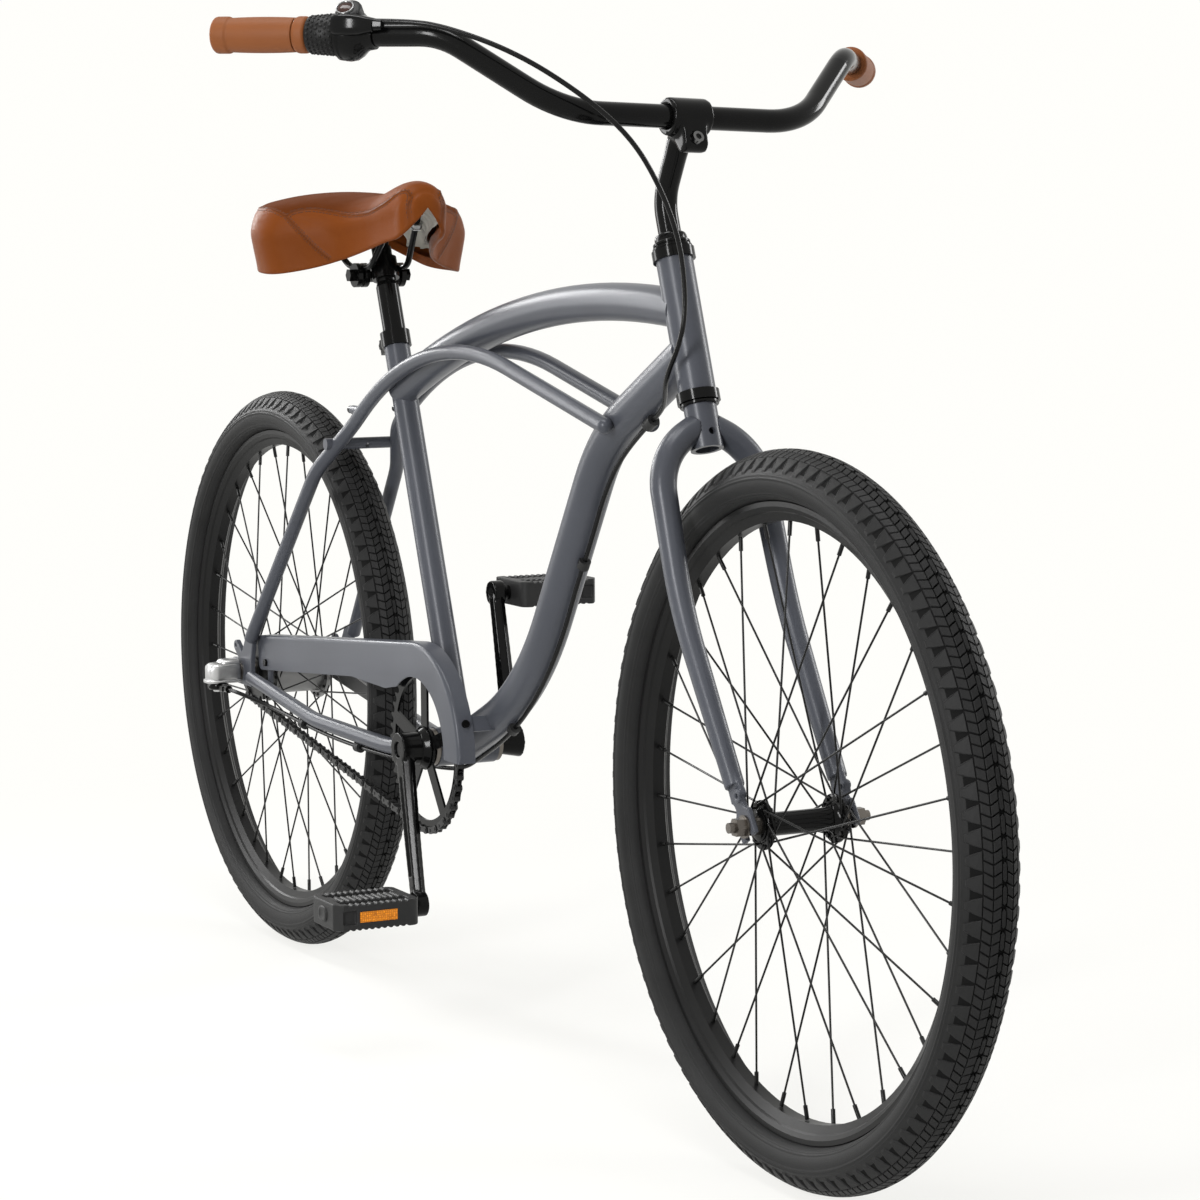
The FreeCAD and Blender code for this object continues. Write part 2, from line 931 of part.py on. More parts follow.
def make_rack_bolt(side):
    root, seat = rack_boss_axis(side)
    head = rod(seat, seat - X_AXIS * rack_bolt_head_height, rack_bolt_head_radius)
    shank = rod(root - X_AXIS * (rack_boss_reach / 2), seat, rack_bolt_radius)
    socket = hexagon_nut(seat - X_AXIS * (rack_bolt_head_height / 2), X_AXIS * -1, rack_bolt_head_radius,
                         rack_bolt_head_height, running_clearance)
    return fused([head, largest(shank.cut(stay_rod(side)))]).cut(socket)


def guard_screw_frame():
    out = Vec(math.cos(math.radians(guard_screw_angle)), 0, math.sin(math.radians(guard_screw_angle)))
    up = Y_AXIS.cross(out) * -1
    side = -guard_face_side + guard_flange / 2 + guard_sheet
    return bb_point + Y_AXIS * side, out, up


def guard_tab_reach():
    inside = guard_outer_radius - guard_sheet - weld_gap
    return math.sqrt(inside ** 2 - (guard_tab_width / 2) ** 2)


def make_guard_tab():
    centre, out, up = guard_screw_frame()
    far = centre + out * guard_tab_reach()
    half = guard_tab_width / 2
    side_length = bb_point.y - centre.y + half
    corner = far - up * half - Y_AXIS * half
    wall = Part.Face(Part.makePolygon([
        corner,
        corner + up * guard_tab_width,
        corner + up * guard_tab_width - out * guard_tab_thickness,
        corner - out * guard_tab_thickness,
        corner,
    ])).extrude(Y_AXIS * side_length)
    hole = rod(far - out * (guard_tab_thickness + overrun), far + out * overrun, guard_screw_radius + weld_gap)
    return largest(wall.cut(down_tube_rod()).cut(hole))


def make_braze_ons():
    pieces = [make_stay_bridge(), make_chainstay_bridge(), make_guard_tab()]
    for side in SIDES:
        pieces.append(make_rack_boss(side))
    return Part.makeCompound(pieces)


# Headset
def make_headset_cups():
    cups = []
    for foot, out in ((axle_to_head_tube, -1), (head_top_along, 1)):
        face = on_steer(foot)
        rim = rod(face, face + steer_up * (out * headset_cup_height), headset_cup_radius)
        insert = rod(face - steer_up * (out * headset_cup_insert), face, head_tube_bore - weld_gap)
        bore = rod(face - steer_up * (out * (headset_cup_insert + overrun)),
                   face + steer_up * (out * (headset_cup_height + overrun)), steerer_radius + running_clearance)
        cups.append(fused([rim, insert]).cut(bore))
    return Part.makeCompound(cups)


def make_headset_top():
    race_foot = head_top_along + headset_cup_height + seat_gap
    race_head = race_foot + headset_race_height
    race = rod(on_steer(race_foot), on_steer(race_head), headset_race_radius)
    nut_head = race_head + headset_nut_height
    nut = hexagon_nut(on_steer(race_head), steer_up, 2 * headset_nut_radius, headset_nut_height, steerer_radius)
    bore = rod(on_steer(race_foot - overrun), on_steer(nut_head + overrun), steerer_radius + weld_gap)
    lower_head = axle_to_head_tube - headset_cup_height - seat_gap
    lower = hollow_rod(on_steer(lower_head - headset_race_height / 2), on_steer(lower_head),
                       headset_race_radius, steerer_radius + weld_gap)
    return Part.makeCompound([fused([race, nut]).cut(bore), lower])


# Fork
crown_top_along = axle_to_head_tube - headset_cup_height - seat_gap - headset_race_height / 2
steerer_top_along = head_top_along + headset_cup_height + seat_gap + headset_race_height + headset_nut_height


def crown_rod():
    return rod(on_steer(crown_top_along - crown_length), on_steer(crown_top_along), crown_radius)


def make_fork_crown():
    bottom = crown_top_along - crown_length
    steerer = rod(on_steer(bottom), on_steer(steerer_top_along), steerer_radius)
    bore = rod(on_steer(bottom - overrun), on_steer(steerer_top_along + overrun), quill_radius + running_clearance)
    hole_centre = on_steer(bottom + crown_hole_above)
    across = steer_forward * (crown_radius + overrun)
    hole = rod(hole_centre - across, hole_centre + across, crown_hole_radius)
    return fused([crown_rod(), steerer]).cut(bore).cut(hole)


def blade_points(side):
    return [
        on_steer(blade_start_along, side * blade_start_side, 0),
        on_steer(blade_shoulder_along, side * blade_shoulder_side, 0),
        on_steer(blade_rake_along, side * blade_rake_side, 0),
        on_steer(blade_foot_along, side * blade_foot_side, blade_foot_forward),
    ]


def fork_end_inner_side(side):
    inner = front_over_locknut / 2
    return inner if side == LEFT else -inner - fork_end_thickness


def fork_end_blank(side):
    half = fork_end_half
    tip = front_axle_point
    down = on_steer(0) - on_steer(blade_foot_along, 0, blade_foot_forward - fork_offset)
    down = down.normalize()
    across = Y_AXIS.cross(down)
    top = on_steer(blade_foot_along, 0, blade_foot_forward) - down * half
    outline = [
        top - across * blade_foot_radius,
        top + across * blade_foot_radius,
        tip - down * half + across * half,
        tip + down * fork_end_horn + across * half,
        tip + down * fork_end_horn - across * half,
        tip - down * half - across * half,
    ]
    blank = plate(outline, fork_end_inner_side(side), fork_end_thickness)
    return blank, tip, down, across


def fork_eyelet_centre():
    return front_axle_point + Vec(-fork_eyelet_behind, 0, fork_eyelet_above)


def make_fork_end(side):
    blank, tip, down, across = fork_end_blank(side)
    inner = fork_end_inner_side(side)
    eye = fork_eyelet_centre()
    inside = Y_AXIS * (side * front_over_locknut / 2)
    outside = Y_AXIS * (side * (front_over_locknut / 2 + fork_end_thickness + fork_eyelet_proud))
    lug = rod(eye + inside, eye + outside, eyelet_radius)
    hole = rod(eye, eye + outside * 2, eyelet_hole_radius)
    slot_half = front_axle_radius + fork_end_slot_clearance
    slot_foot = tip + down * (fork_end_horn + overrun)
    slot = plate([tip + across * slot_half, slot_foot + across * slot_half,
                  slot_foot - across * slot_half, tip - across * slot_half],
                 inner - overrun, fork_end_thickness + 2 * overrun)
    round_end = rod(tip + Y_AXIS * (inner - overrun), tip + Y_AXIS * (inner + fork_end_thickness + overrun),
                    slot_half)
    return fused([blank, lug]).cut(hole).cut(slot).cut(round_end)


def make_fork_blade(side):
    radii = [blade_shoulder_radius, blade_rake_radius]
    blade = tapered(blade_points(side), radii, blade_top_radius, blade_foot_radius)
    blade = largest(blade.cut(crown_rod()))
    end = make_fork_end(side)
    eye = fork_eyelet_centre()
    reach = Y_AXIS * (side * front_over_locknut)
    pocket = fused([fork_end_blank(side)[0], rod(eye, eye + reach, eyelet_radius)])
    return Part.makeCompound([largest(blade.cut(pocket)), end])


# Stem and handlebar
def stem_turned(shape):
    return turned(shape, steer_foot, steer_up, stem_turn)


def bar_centre():
    return on_steer(stem_rise, 0, stem_reach)


def bar_points(side):
    centre = bar_centre()
    bend = centre + Vec(-bar_bend_back, side * bar_bend_side, bar_bend_up)
    return [centre + Y_AXIS * (side * bar_flat_half), bend, bend + grip_direction(side) * grip_leg]


def grip_direction(side):
    angle = math.radians(grip_angle)
    return Vec(-math.cos(angle), side * math.sin(angle), 0)


def make_handlebar():
    right = bar_points(RIGHT)
    left = bar_points(LEFT)
    points = [right[2], right[1], right[0], left[0], left[1], left[2]]
    radii = [bar_sweep_radius, bar_rise_radius, bar_rise_radius, bar_sweep_radius]
    return swept(points, radii, bar_radius)


def stem_lug_centre():
    return bar_centre() + Vec(stem_lug_ahead, 0, -stem_lug_drop)


def make_stem():
    foot = on_steer(steerer_top_along - quill_depth)
    bend = on_steer(stem_bend_along)
    centre = bar_centre()
    quill = swept([foot, bend, centre], [stem_bend_radius], quill_radius)
    leg_start = bend + (centre - bend).normalize() * stem_bend_radius
    leg = cone(leg_start, centre, quill_radius, stem_leg_radius)
    half = stem_clamp_width / 2
    barrel = rod(centre - Y_AXIS * half, centre + Y_AXIS * half, stem_clamp_radius)
    lug = stem_lug_centre()
    lug_half = stem_lug_width / 2
    lug_rod = rod(lug - Y_AXIS * lug_half, lug + Y_AXIS * lug_half, stem_lug_radius)
    down = (lug - centre).normalize()
    across = Y_AXIS.cross(down)
    web = plate([centre + across * stem_clamp_radius, lug + across * stem_lug_radius,
                 lug - across * stem_lug_radius, centre - across * stem_clamp_radius], -lug_half, stem_lug_width)
    body = fused([quill, leg, barrel, lug_rod, web])
    bore = rod(centre - Y_AXIS * (half + overrun), centre + Y_AXIS * (half + overrun),
               bar_radius + stem_clamp_bore_gap)
    bolt = stem_bolt_axis()
    bolt_hole = rod(bolt[0] - bolt[1] * stem_clamp_radius, bolt[0] + bolt[1] * stem_clamp_radius,
                    stem_bolt_radius + weld_gap)
    pocket = rod(bolt[2], bolt[2] + bolt[1] * stem_clamp_radius, stem_bolt_head_radius + weld_gap)
    return largest(body.cut(bore).cut(bolt_hole).cut(pocket))


def stem_bolt_axis():
    lug = stem_lug_centre()
    down = (lug - bar_centre()).normalize()
    out = Y_AXIS.cross(down)
    if out.x < 0:
        out = out * -1
    return lug, out, lug + out * (stem_lug_radius - stem_bolt_head_height / 2)


def make_stem_bolts():
    lug, out, seat = stem_bolt_axis()
    head = rod(seat, seat + out * stem_bolt_head_height, stem_bolt_head_radius)
    socket = hexagon_nut(seat + out * stem_bolt_radius, out, stem_bolt_head_radius, stem_bolt_head_height,
                         running_clearance)
    shank = rod(lug - out * stem_lug_radius, seat, stem_bolt_radius)
    return fused([head, shank]).cut(socket)


# Grips and twist shifter, placed along the straight ends of the bar
def grip_edge_points(length):
    collar = grip_collar_length
    return [
        (0, grip_collar_radius - grip_cap / 2),
        (grip_cap / 2, grip_collar_radius),
        (collar - grip_cap / 2, grip_collar_radius),
        (collar, grip_waist_radius),
        (length / 2, grip_radius),
        (length - grip_ring_length - grip_cap / 2, grip_waist_radius),
        (length - grip_ring_length, grip_collar_radius),
        (length - grip_cap / 2, grip_collar_radius),
        (length, grip_radius),
    ]


def along_bar(side, shape):
    end = bar_points(side)[2] + grip_direction(side) * grip_cap
    inward = grip_direction(side) * -1
    placed = shape.copy()
    placed.Placement = FreeCAD.Placement(end, FreeCAD.Rotation(X_AXIS, inward))
    return placed


def turned_sleeve(steps, bore):
    points = [Vec(place, 0, radius) for place, radius in steps]
    points.append(Vec(steps[-1][0], 0, bore))
    points.append(Vec(steps[0][0], 0, bore))
    face = Part.Face(Part.makePolygon(points + [points[0]]))
    return face.revolve(ORIGIN, X_AXIS, FULL_TURN)


def make_grip(side, length):
    body = turned_sleeve(grip_edge_points(length), bar_radius + weld_gap)
    cap = rod(ORIGIN, X_AXIS * (grip_cap - weld_gap), bar_radius + 2 * weld_gap)
    return along_bar(side, fused([body, cap]))


def make_shifter_sleeve():
    start = right_grip_length + grip_gap
    end = start + sleeve_length - grip_gap
    steps = [(start, sleeve_outer_radius), (end, sleeve_radius)]
    sleeve = turned_sleeve(steps, bar_radius + running_clearance)
    ribs = []
    for step in range(sleeve_rib_count):
        angle = step * FULL_TURN / sleeve_rib_count
        rib = rod(Vec(start + grip_gap, 0, sleeve_outer_radius), Vec(end - grip_gap, 0, sleeve_radius),
                  sleeve_rib_radius)
        ribs.append(turned(rib, ORIGIN, X_AXIS, angle))
    return along_bar(RIGHT, fused([sleeve] + ribs))


def housing_start():
    return right_grip_length + sleeve_length + grip_gap


def nozzle_points():
    start = housing_start() + housing_flange_length
    foot = Vec(start, -nozzle_ahead, nozzle_up)
    return foot, foot + X_AXIS * (housing_body_length - housing_flange_length + nozzle_length)


def make_shifter_housing():
    start = housing_start()
    flange_end = start + housing_flange_length
    body_end = start + housing_body_length + housing_flange_length
    steps = [(start, housing_flange_radius), (flange_end, housing_flange_radius),
             (flange_end, housing_body_radius), (body_end - overrun, housing_body_radius),
             (body_end, housing_nose_radius)]
    body = turned_sleeve(steps, bar_radius + weld_gap)
    window_foot = Vec(flange_end + housing_window_back, 0, 0)
    turret_top = window_foot + Z_AXIS * housing_window_up
    turret = rod(window_foot + Z_AXIS * housing_turret_foot, turret_top, housing_turret_radius)
    window = rod(turret_top, turret_top + Z_AXIS * housing_window_height, housing_window_radius)
    foot, tip = nozzle_points()
    shroud = cone(foot, tip, nozzle_radius, nozzle_tip_radius)
    cable_bore = rod(tip - X_AXIS * nozzle_length, tip + X_AXIS * overrun, cable_radius + weld_gap)
    whole = fused([body, turret, window, shroud]).cut(cable_bore)
    bar_bore = rod(X_AXIS * (start - overrun), X_AXIS * (body_end + overrun), bar_radius + weld_gap)
    return along_bar(RIGHT, whole.cut(bar_bore))


# Wheels
def radial_point(side, radius):
    return Vec(0, side, radius)


def half_tyre_edges(bead, half, shoulder, shoulder_radius):
    foot = radial_point(bead, tyre_bead_radius)
    neck = radial_point(bead, tyre_neck_radius)
    wide = radial_point(half, tyre_wide_radius)
    top = radial_point(shoulder, shoulder_radius)
    return [Part.LineSegment(foot, neck).toShape(), Part.Arc(neck, wide, top).toShape()]


def tyre_shell(inset, tread):
    shoulder = tyre_shoulder_width / 2 - inset
    shoulder_radius = tyre_shoulder_radius - tread
    bead = tyre_bead_width / 2 - inset
    half = tyre_width / 2 - inset
    right = half_tyre_edges(bead, half, shoulder, shoulder_radius)
    left = half_tyre_edges(-bead, -half, -shoulder, shoulder_radius)
    crown = Part.Arc(radial_point(shoulder, shoulder_radius), radial_point(0, tyre_radius - tread),
                     radial_point(-shoulder, shoulder_radius)).toShape()
    base = Part.LineSegment(radial_point(-bead, tyre_bead_radius), radial_point(bead, tyre_bead_radius)).toShape()
    return revolved(Part.__sortEdges__(right + [crown] + left + [base]), ORIGIN)


def tread_groove(place):
    half = tread_groove_width / 2
    share = 2 * place / tyre_shoulder_width
    crown = tyre_radius - (tyre_radius - tyre_shoulder_radius) * share ** 2
    low = crown - tread_groove_depth
    high = tyre_radius + overrun
    return lathe([(place - half, low), (place + half, low), (place + half, high), (place - half, high)], ORIGIN)


def tyre_solid(centre):
    tyre = tyre_shell(0, 0).cut(tyre_shell(tyre_wall, tyre_tread))
    for place in tread_groove_places:
        tyre = tyre.cut(tread_groove(place))
    return moved(tyre, centre)


def rim_solid(centre):
    steps = [
        (rim_bed_width / 2, rim_bed_radius),
        (rim_shoulder_width / 2, rim_shoulder_radius),
        (rim_ledge_width / 2, rim_ledge_radius),
        (rim_width / 2, rim_side_radius),
        (rim_width / 2, rim_flange_radius),
        (rim_width / 2 - rim_wall, rim_flange_radius),
        (rim_width / 2 - rim_wall, rim_seat_radius),
        (rim_well_width / 2, rim_seat_radius),
        (rim_well_width / 2, rim_well_radius),
    ]
    return lathe(steps + [(-side, radius) for side, radius in reversed(steps)], centre)


def flange_holes(side_place, hole_circle, phase):
    holes = []
    for step in range(spoke_count // 2):
        angle = phase + step * 2 * FULL_TURN / spoke_count
        centre = Vec(0, side_place, hole_circle)
        hole = rod(centre - Y_AXIS * flange_thickness, centre + Y_AXIS * flange_thickness,
                   spoke_radius + spoke_hole_clearance)
        holes.append(turned(hole, ORIGIN, Y_AXIS, angle))
    return holes


def spoke_solid(flange_place, hole_circle, lead, outward):
    stand_off = spoke_stand_off if outward * flange_place > 0 else spoke_hole_clearance
    lift = outward * (flange_thickness / 2 + spoke_radius + stand_off)
    bend = Vec(0, flange_place + lift, hole_circle)
    rim_angle = lead * spoke_crosses * 2 * FULL_TURN / spoke_count
    rim_end = turned_point(Vec(0, 0, rim_bed_radius - nipple_gap), rim_angle)
    direction = (rim_end - bend).normalize()
    head = Vec(0, flange_place - outward * (flange_thickness / 2 + spoke_hole_clearance), hole_circle)
    wire = rod(bend, rim_end - direction * nipple_length, spoke_radius)
    nipple = rod(rim_end - direction * nipple_length, rim_end, nipple_radius)
    elbow = Part.makeSphere(spoke_radius, bend)
    neck = rod(bend, head, spoke_radius)
    button = rod(head, head - Y_AXIS * (outward * spoke_head_length), spoke_head_radius)
    return fused([wire, nipple, elbow, neck, button])


def turned_point(point, angle):
    return FreeCAD.Rotation(Y_AXIS, angle).multVec(point)


def spoke_set(right_place, left_place, hole_circle, turn, centre):
    pieces = []
    step = FULL_TURN / spoke_count
    for place, phase in ((right_place, 0.0), (left_place, step)):
        for lead, outward, start in ((1, 1, 0.0), (-1, -1, 2 * step)):
            out = outward if place > 0 else -outward
            spoke = spoke_solid(place, hole_circle, lead, out)
            for repeat in range(spoke_count // 4):
                angle = turn + phase + start + repeat * 4 * step
                pieces.append(moved(turned(spoke, ORIGIN, Y_AXIS, angle), centre))
    return Part.makeCompound(pieces)


def hub_solid(profile, right_place, left_place, hole_circle, bore, turn, centre):
    body = lathe(profile, ORIGIN)
    holes = flange_holes(right_place, hole_circle, turn)
    holes += flange_holes(left_place, hole_circle, turn + FULL_TURN / spoke_count)
    far = rear_over_locknut
    body = body.cut(Part.makeCompound(holes)).cut(rod(Y_AXIS * -far, Y_AXIS * far, bore))
    return moved(body, centre)


def flange_steps(place, inner_radius, outer_radius, flange_radius):
    half = flange_thickness / 2
    return [(place - half, inner_radius), (place - half, flange_radius), (place + half, flange_radius),
            (place + half, outer_radius)]


def make_front_hub():
    half = front_hub_length / 2
    place = front_flange_spread / 2
    profile = [(-half, 0), (-half, front_neck_radius)]
    profile += flange_steps(-place, front_neck_radius, front_barrel_radius, front_flange_radius)
    profile += flange_steps(place, front_barrel_radius, front_neck_radius, front_flange_radius)
    profile += [(half, front_neck_radius), (half, 0)]
    return hub_solid(profile, -place, place, front_hole_circle, front_cone_radius + running_clearance,
                     front_wheel_phase, front_axle_point)


def make_rear_hub():
    profile = [(-rear_hub_right_end, 0), (-rear_hub_right_end, rear_neck_radius)]
    profile += flange_steps(-rear_flange_right, rear_neck_radius, rear_barrel_radius, rear_flange_radius)
    profile += flange_steps(rear_flange_left, rear_barrel_radius, rear_neck_radius, rear_flange_radius)
    profile += [(rear_hub_left_end, rear_neck_radius), (rear_hub_left_end, 0)]
    return hub_solid(profile, -rear_flange_right, rear_flange_left, rear_hole_circle,
                     rear_cone_radius + running_clearance, rear_wheel_phase, rear_axle_point)


def axle_end(centre, inner_side, out, length, axle_radius):
    face = centre + Y_AXIS * inner_side
    washer = hollow_rod(face, face + Y_AXIS * (out * axle_washer_height), axle_washer_radius, axle_radius)
    nut = hexagon_nut(face + Y_AXIS * (out * axle_washer_height), Y_AXIS * out, axle_nut_across,
                      axle_nut_height, axle_radius)
    tip = rod(centre, face + Y_AXIS * (out * (axle_washer_height + axle_nut_height + length)), axle_radius)
    return [washer, nut, tip]


def make_front_axle():
    inner = front_over_locknut / 2
    pieces = [rod(front_axle_point - Y_AXIS * inner, front_axle_point + Y_AXIS * inner, front_cone_radius)]
    for side in SIDES:
        out = inner + fork_end_thickness
        pieces += axle_end(front_axle_point, side * out, side, front_axle_overhang, front_axle_radius)
    return fused(pieces)


def make_rear_axle():
    inner = rear_over_locknut / 2
    pieces = [rod(rear_axle_point - Y_AXIS * inner, rear_axle_point + Y_AXIS * inner, rear_cone_radius)]
    for side, overhang in ((RIGHT, rear_right_overhang), (LEFT, rear_left_overhang)):
        out = inner + dropout_thickness
        pieces += axle_end(rear_axle_point, side * out, side, overhang, rear_axle_radius)
    return fused(pieces)


# Toothed wheels and chain
chain_right = (bb_point - rear_axle_point).normalize()
chain_up = (Y_AXIS.cross(chain_right) * -1).normalize()
roller_places = roller_travels(chainstay_length, chain_links)[:chain_links]


def roller_point(index):
    along, above = belt_point(roller_places[index % chain_links], chainstay_length)
    return rear_axle_point + chain_right * along + chain_up * above - Y_AXIS * chainline


def tooth_phase(centre, pitch_radius):
    for index in range(chain_links):
        arm = roller_point(index) + Y_AXIS * chainline - centre
        ahead = roller_point(index + 1) + Y_AXIS * chainline - centre
        if abs(arm.Length - pitch_radius) + abs(ahead.Length - pitch_radius) < running_clearance:
            return arm.normalize()
    return chain_up


def toothed_disc(centre, teeth, pitch_radius):
    first = tooth_phase(centre, pitch_radius)
    seat_radius = roller_radius + seat_gap
    lean = math.radians(tooth_seat_angle)
    edges = []
    steps = []
    for tooth in range(teeth):
        radial = FreeCAD.Rotation(Y_AXIS, tooth * FULL_TURN / teeth).multVec(first)
        tangent = Y_AXIS.cross(radial)
        seat = centre + radial * pitch_radius
        start = seat - tangent * (seat_radius * math.cos(lean)) + radial * (seat_radius * math.sin(lean))
        end = seat + tangent * (seat_radius * math.cos(lean)) + radial * (seat_radius * math.sin(lean))
        crest = FreeCAD.Rotation(Y_AXIS, (tooth + 0.5) * FULL_TURN / teeth).multVec(first)
        crest_tangent = Y_AXIS.cross(crest)
        tip = centre + crest * (pitch_radius + tooth_tip_height)
        steps.append((start, seat - radial * seat_radius, end,
                      tip - crest_tangent * (tooth_tip_width / 2), tip + crest_tangent * (tooth_tip_width / 2)))
    for here, after in zip(steps, steps[1:] + steps[:1]):
        edges.append(Part.Arc(here[0], here[1], here[2]).toShape())
        edges.append(Part.LineSegment(here[2], here[3]).toShape())
        edges.append(Part.LineSegment(here[3], here[4]).toShape())
        edges.append(Part.LineSegment(here[4], after[0]).toShape())
    face = Part.Face(Part.Wire(edges))
    disc = face.extrude(Y_AXIS * tooth_thickness)
    return moved(disc, Y_AXIS * (-chainline - tooth_thickness / 2))


def chainring_window():
    outer = chainring_pitch_radius - chainring_rim_depth
    inner = chainring_hub_radius
    depth = tooth_thickness + 2 * overrun
    ring = hollow_rod(ORIGIN, Y_AXIS * depth, outer, inner)
    arms = []
    for arm in range(chainring_arms):
        bar = Part.makeBox(chainring_arm_width, depth, outer + overrun,
                           Vec(-chainring_arm_width / 2, 0, 0))
        arms.append(turned(bar, ORIGIN, Y_AXIS, arm * FULL_TURN / chainring_arms))
    windows = ring.cut(Part.makeCompound(arms))
    return moved(windows, bb_point - Y_AXIS * (chainline + depth / 2))


def make_chainring():
    disc = toothed_disc(bb_point, chainring_teeth, chainring_pitch_radius).cut(chainring_window())
    hole = rod(bb_point - Y_AXIS * (chainline + overrun), bb_point - Y_AXIS * (chainline - overrun),
               crank_boss_radius + weld_gap)
    return disc.cut(hole)


def make_sprocket():
    disc = toothed_disc(rear_axle_point, sprocket_teeth, sprocket_pitch_radius)
    carrier = rod(rear_axle_point - Y_AXIS * driver_outer_end, rear_axle_point - Y_AXIS * driver_inner_end,
                  driver_radius)
    far = Y_AXIS * (driver_outer_end + overrun)
    bore = rod(rear_axle_point - far, rear_axle_point + far, rear_cone_radius + running_clearance)
    return fused([disc, carrier]).cut(bore)


def link_plate(side_place):
    half = chain_pitch / 2
    waist = chain_waist_radius
    swell = chain_plate_radius
    edges = [
        Part.Arc(Vec(0, 0, swell), Vec(-swell, 0, 0), Vec(0, 0, -swell)).toShape(),
        Part.Arc(Vec(0, 0, -swell), Vec(half, 0, -waist), Vec(chain_pitch, 0, -swell)).toShape(),
        Part.Arc(Vec(chain_pitch, 0, -swell), Vec(chain_pitch + swell, 0, 0), Vec(chain_pitch, 0, swell)).toShape(),
        Part.Arc(Vec(chain_pitch, 0, swell), Vec(half, 0, waist), Vec(0, 0, swell)).toShape(),
    ]
    face = Part.Face(Part.Wire(edges))
    return moved(face.extrude(Y_AXIS * chain_plate), Y_AXIS * side_place)


def inner_link():
    half = chain_inner_width / 2
    pieces = [link_plate(half), link_plate(-half - chain_plate)]
    bores = []
    for place in (ORIGIN, X_AXIS * chain_pitch):
        pieces.append(rod(place - Y_AXIS * half, place + Y_AXIS * half, roller_radius))
        bores.append(rod(place - Y_AXIS * chain_pitch, place + Y_AXIS * chain_pitch,
                         chain_pin_radius + running_clearance))
    return fused(pieces).cut(Part.makeCompound(bores))


def outer_link():
    inner = chain_inner_width / 2 + chain_plate + chain_plate_gap
    pin_half = inner + chain_plate + chain_pin_proud
    pieces = [link_plate(inner), link_plate(-inner - chain_plate)]
    for place in (ORIGIN, X_AXIS * chain_pitch):
        pieces.append(rod(place - Y_AXIS * pin_half, place + Y_AXIS * pin_half, chain_pin_radius))
    return fused(pieces)


def make_chain():
    kinds = (inner_link(), outer_link())
    links = []
    for index in range(chain_links):
        here = roller_point(index)
        ahead = roller_point(index + 1) - here
        angle = math.degrees(math.atan2(-ahead.z, ahead.x))
        link = kinds[index % 2].copy()
        link.Placement = FreeCAD.Placement(here, FreeCAD.Rotation(Y_AXIS, angle))
        links.append(link)
    return Part.makeCompound(links)


# Bottom bracket, crank arms and pedals
def make_bb_cups():
    cups = []
    for side in SIDES:
        face = bb_point + Y_AXIS * (side * bb_shell_width / 2)
        flange = rod(face, face + Y_AXIS * (side * bb_cup_flange), bb_cup_flange_radius)
        insert = rod(face - Y_AXIS * (side * bb_cup_depth), face, bb_shell_bore - weld_gap)
        bore = rod(face - Y_AXIS * (side * (bb_cup_depth + overrun)),
                   face + Y_AXIS * (side * (bb_cup_flange + overrun)), bb_spindle_radius + running_clearance)
        cups.append(fused([flange, insert]).cut(bore))
    return Part.makeCompound(cups)


def make_crank_spindle():
    right = bb_point - Y_AXIS * (boss_outer(RIGHT) - crank_bolt_recess)
    left = bb_point + Y_AXIS * (boss_outer(LEFT) - crank_bolt_recess)
    pieces = [rod(right, left, bb_spindle_radius)]
    for side, face in ((RIGHT, right), (LEFT, left)):
        pieces.append(rod(face, face + Y_AXIS * (side * crank_bolt_recess / 2), crank_bolt_radius))
    return fused(pieces)


def crank_direction(side):
    angle = math.radians(crank_rest_angle)
    return Vec(math.cos(angle), 0, math.sin(angle)) * (-side)


def crank_section(place, side, outer, width, thickness):
    along = crank_direction(side)
    across = Y_AXIS.cross(along)
    inner = outer - thickness
    middle = (outer + inner) / 2
    soft = thickness / 3
    half = width / 2

    def at(wide, deep):
        return bb_point + along * place + across * wide + Y_AXIS * (side * deep)

    points = [at(-half, middle), at(-half + soft, outer), at(half - soft, outer), at(half, middle),
              at(half - soft, inner), at(-half + soft, inner)]
    return Part.makePolygon(points + [points[0]])


def pedal_eye(side):
    return bb_point + crank_direction(side) * crank_length


def boss_outer(side):
    return left_boss_outer if side == LEFT else crank_boss_outer


def eye_outer(side):
    return boss_outer(side) + crank_flare


def crank_arm(side):
    along = crank_direction(side)
    boss = boss_outer(side)
    tip = eye_outer(side)
    mid_thickness = (crank_root_thickness + crank_eye_thickness) / 2
    mid_width = (crank_root_width + crank_tip_width) / 2
    sections = [
        crank_section(crank_boss_radius / 2, side, boss, crank_root_width, crank_root_thickness),
        crank_section(crank_length / 2, side, (boss + tip) / 2, mid_width, mid_thickness),
        crank_section(crank_length, side, tip, crank_tip_width, crank_eye_thickness),
    ]
    arm = Part.makeLoft(sections, True, False)
    eye = pedal_eye(side)
    eye_rod = rod(eye + Y_AXIS * (side * (tip - crank_eye_thickness)), eye + Y_AXIS * (side * tip),
                  crank_eye_radius)
    shift = Y_AXIS * (side * crank_flare * crank_groove_margin / crank_length)
    start = bb_point + along * crank_groove_margin + Y_AXIS * (side * boss) + shift
    end = bb_point + along * (crank_length - crank_groove_margin) + Y_AXIS * (side * tip) - shift
    half = crank_groove_width / 2
    sink = Y_AXIS * (side * (half - crank_groove_depth))
    return fused([arm, eye_rod]).cut(rod(start + sink, end + sink, half))


def finish_crank(side, body):
    far = Y_AXIS * (side * (boss_outer(side) + overrun))
    shaft = rod(bb_point, bb_point + far, bb_spindle_radius + weld_gap)
    eye = pedal_eye(side)
    thread = rod(eye, eye + Y_AXIS * (side * (eye_outer(side) + overrun)), pedal_spindle_radius + weld_gap)
    return body.cut(shaft).cut(thread)


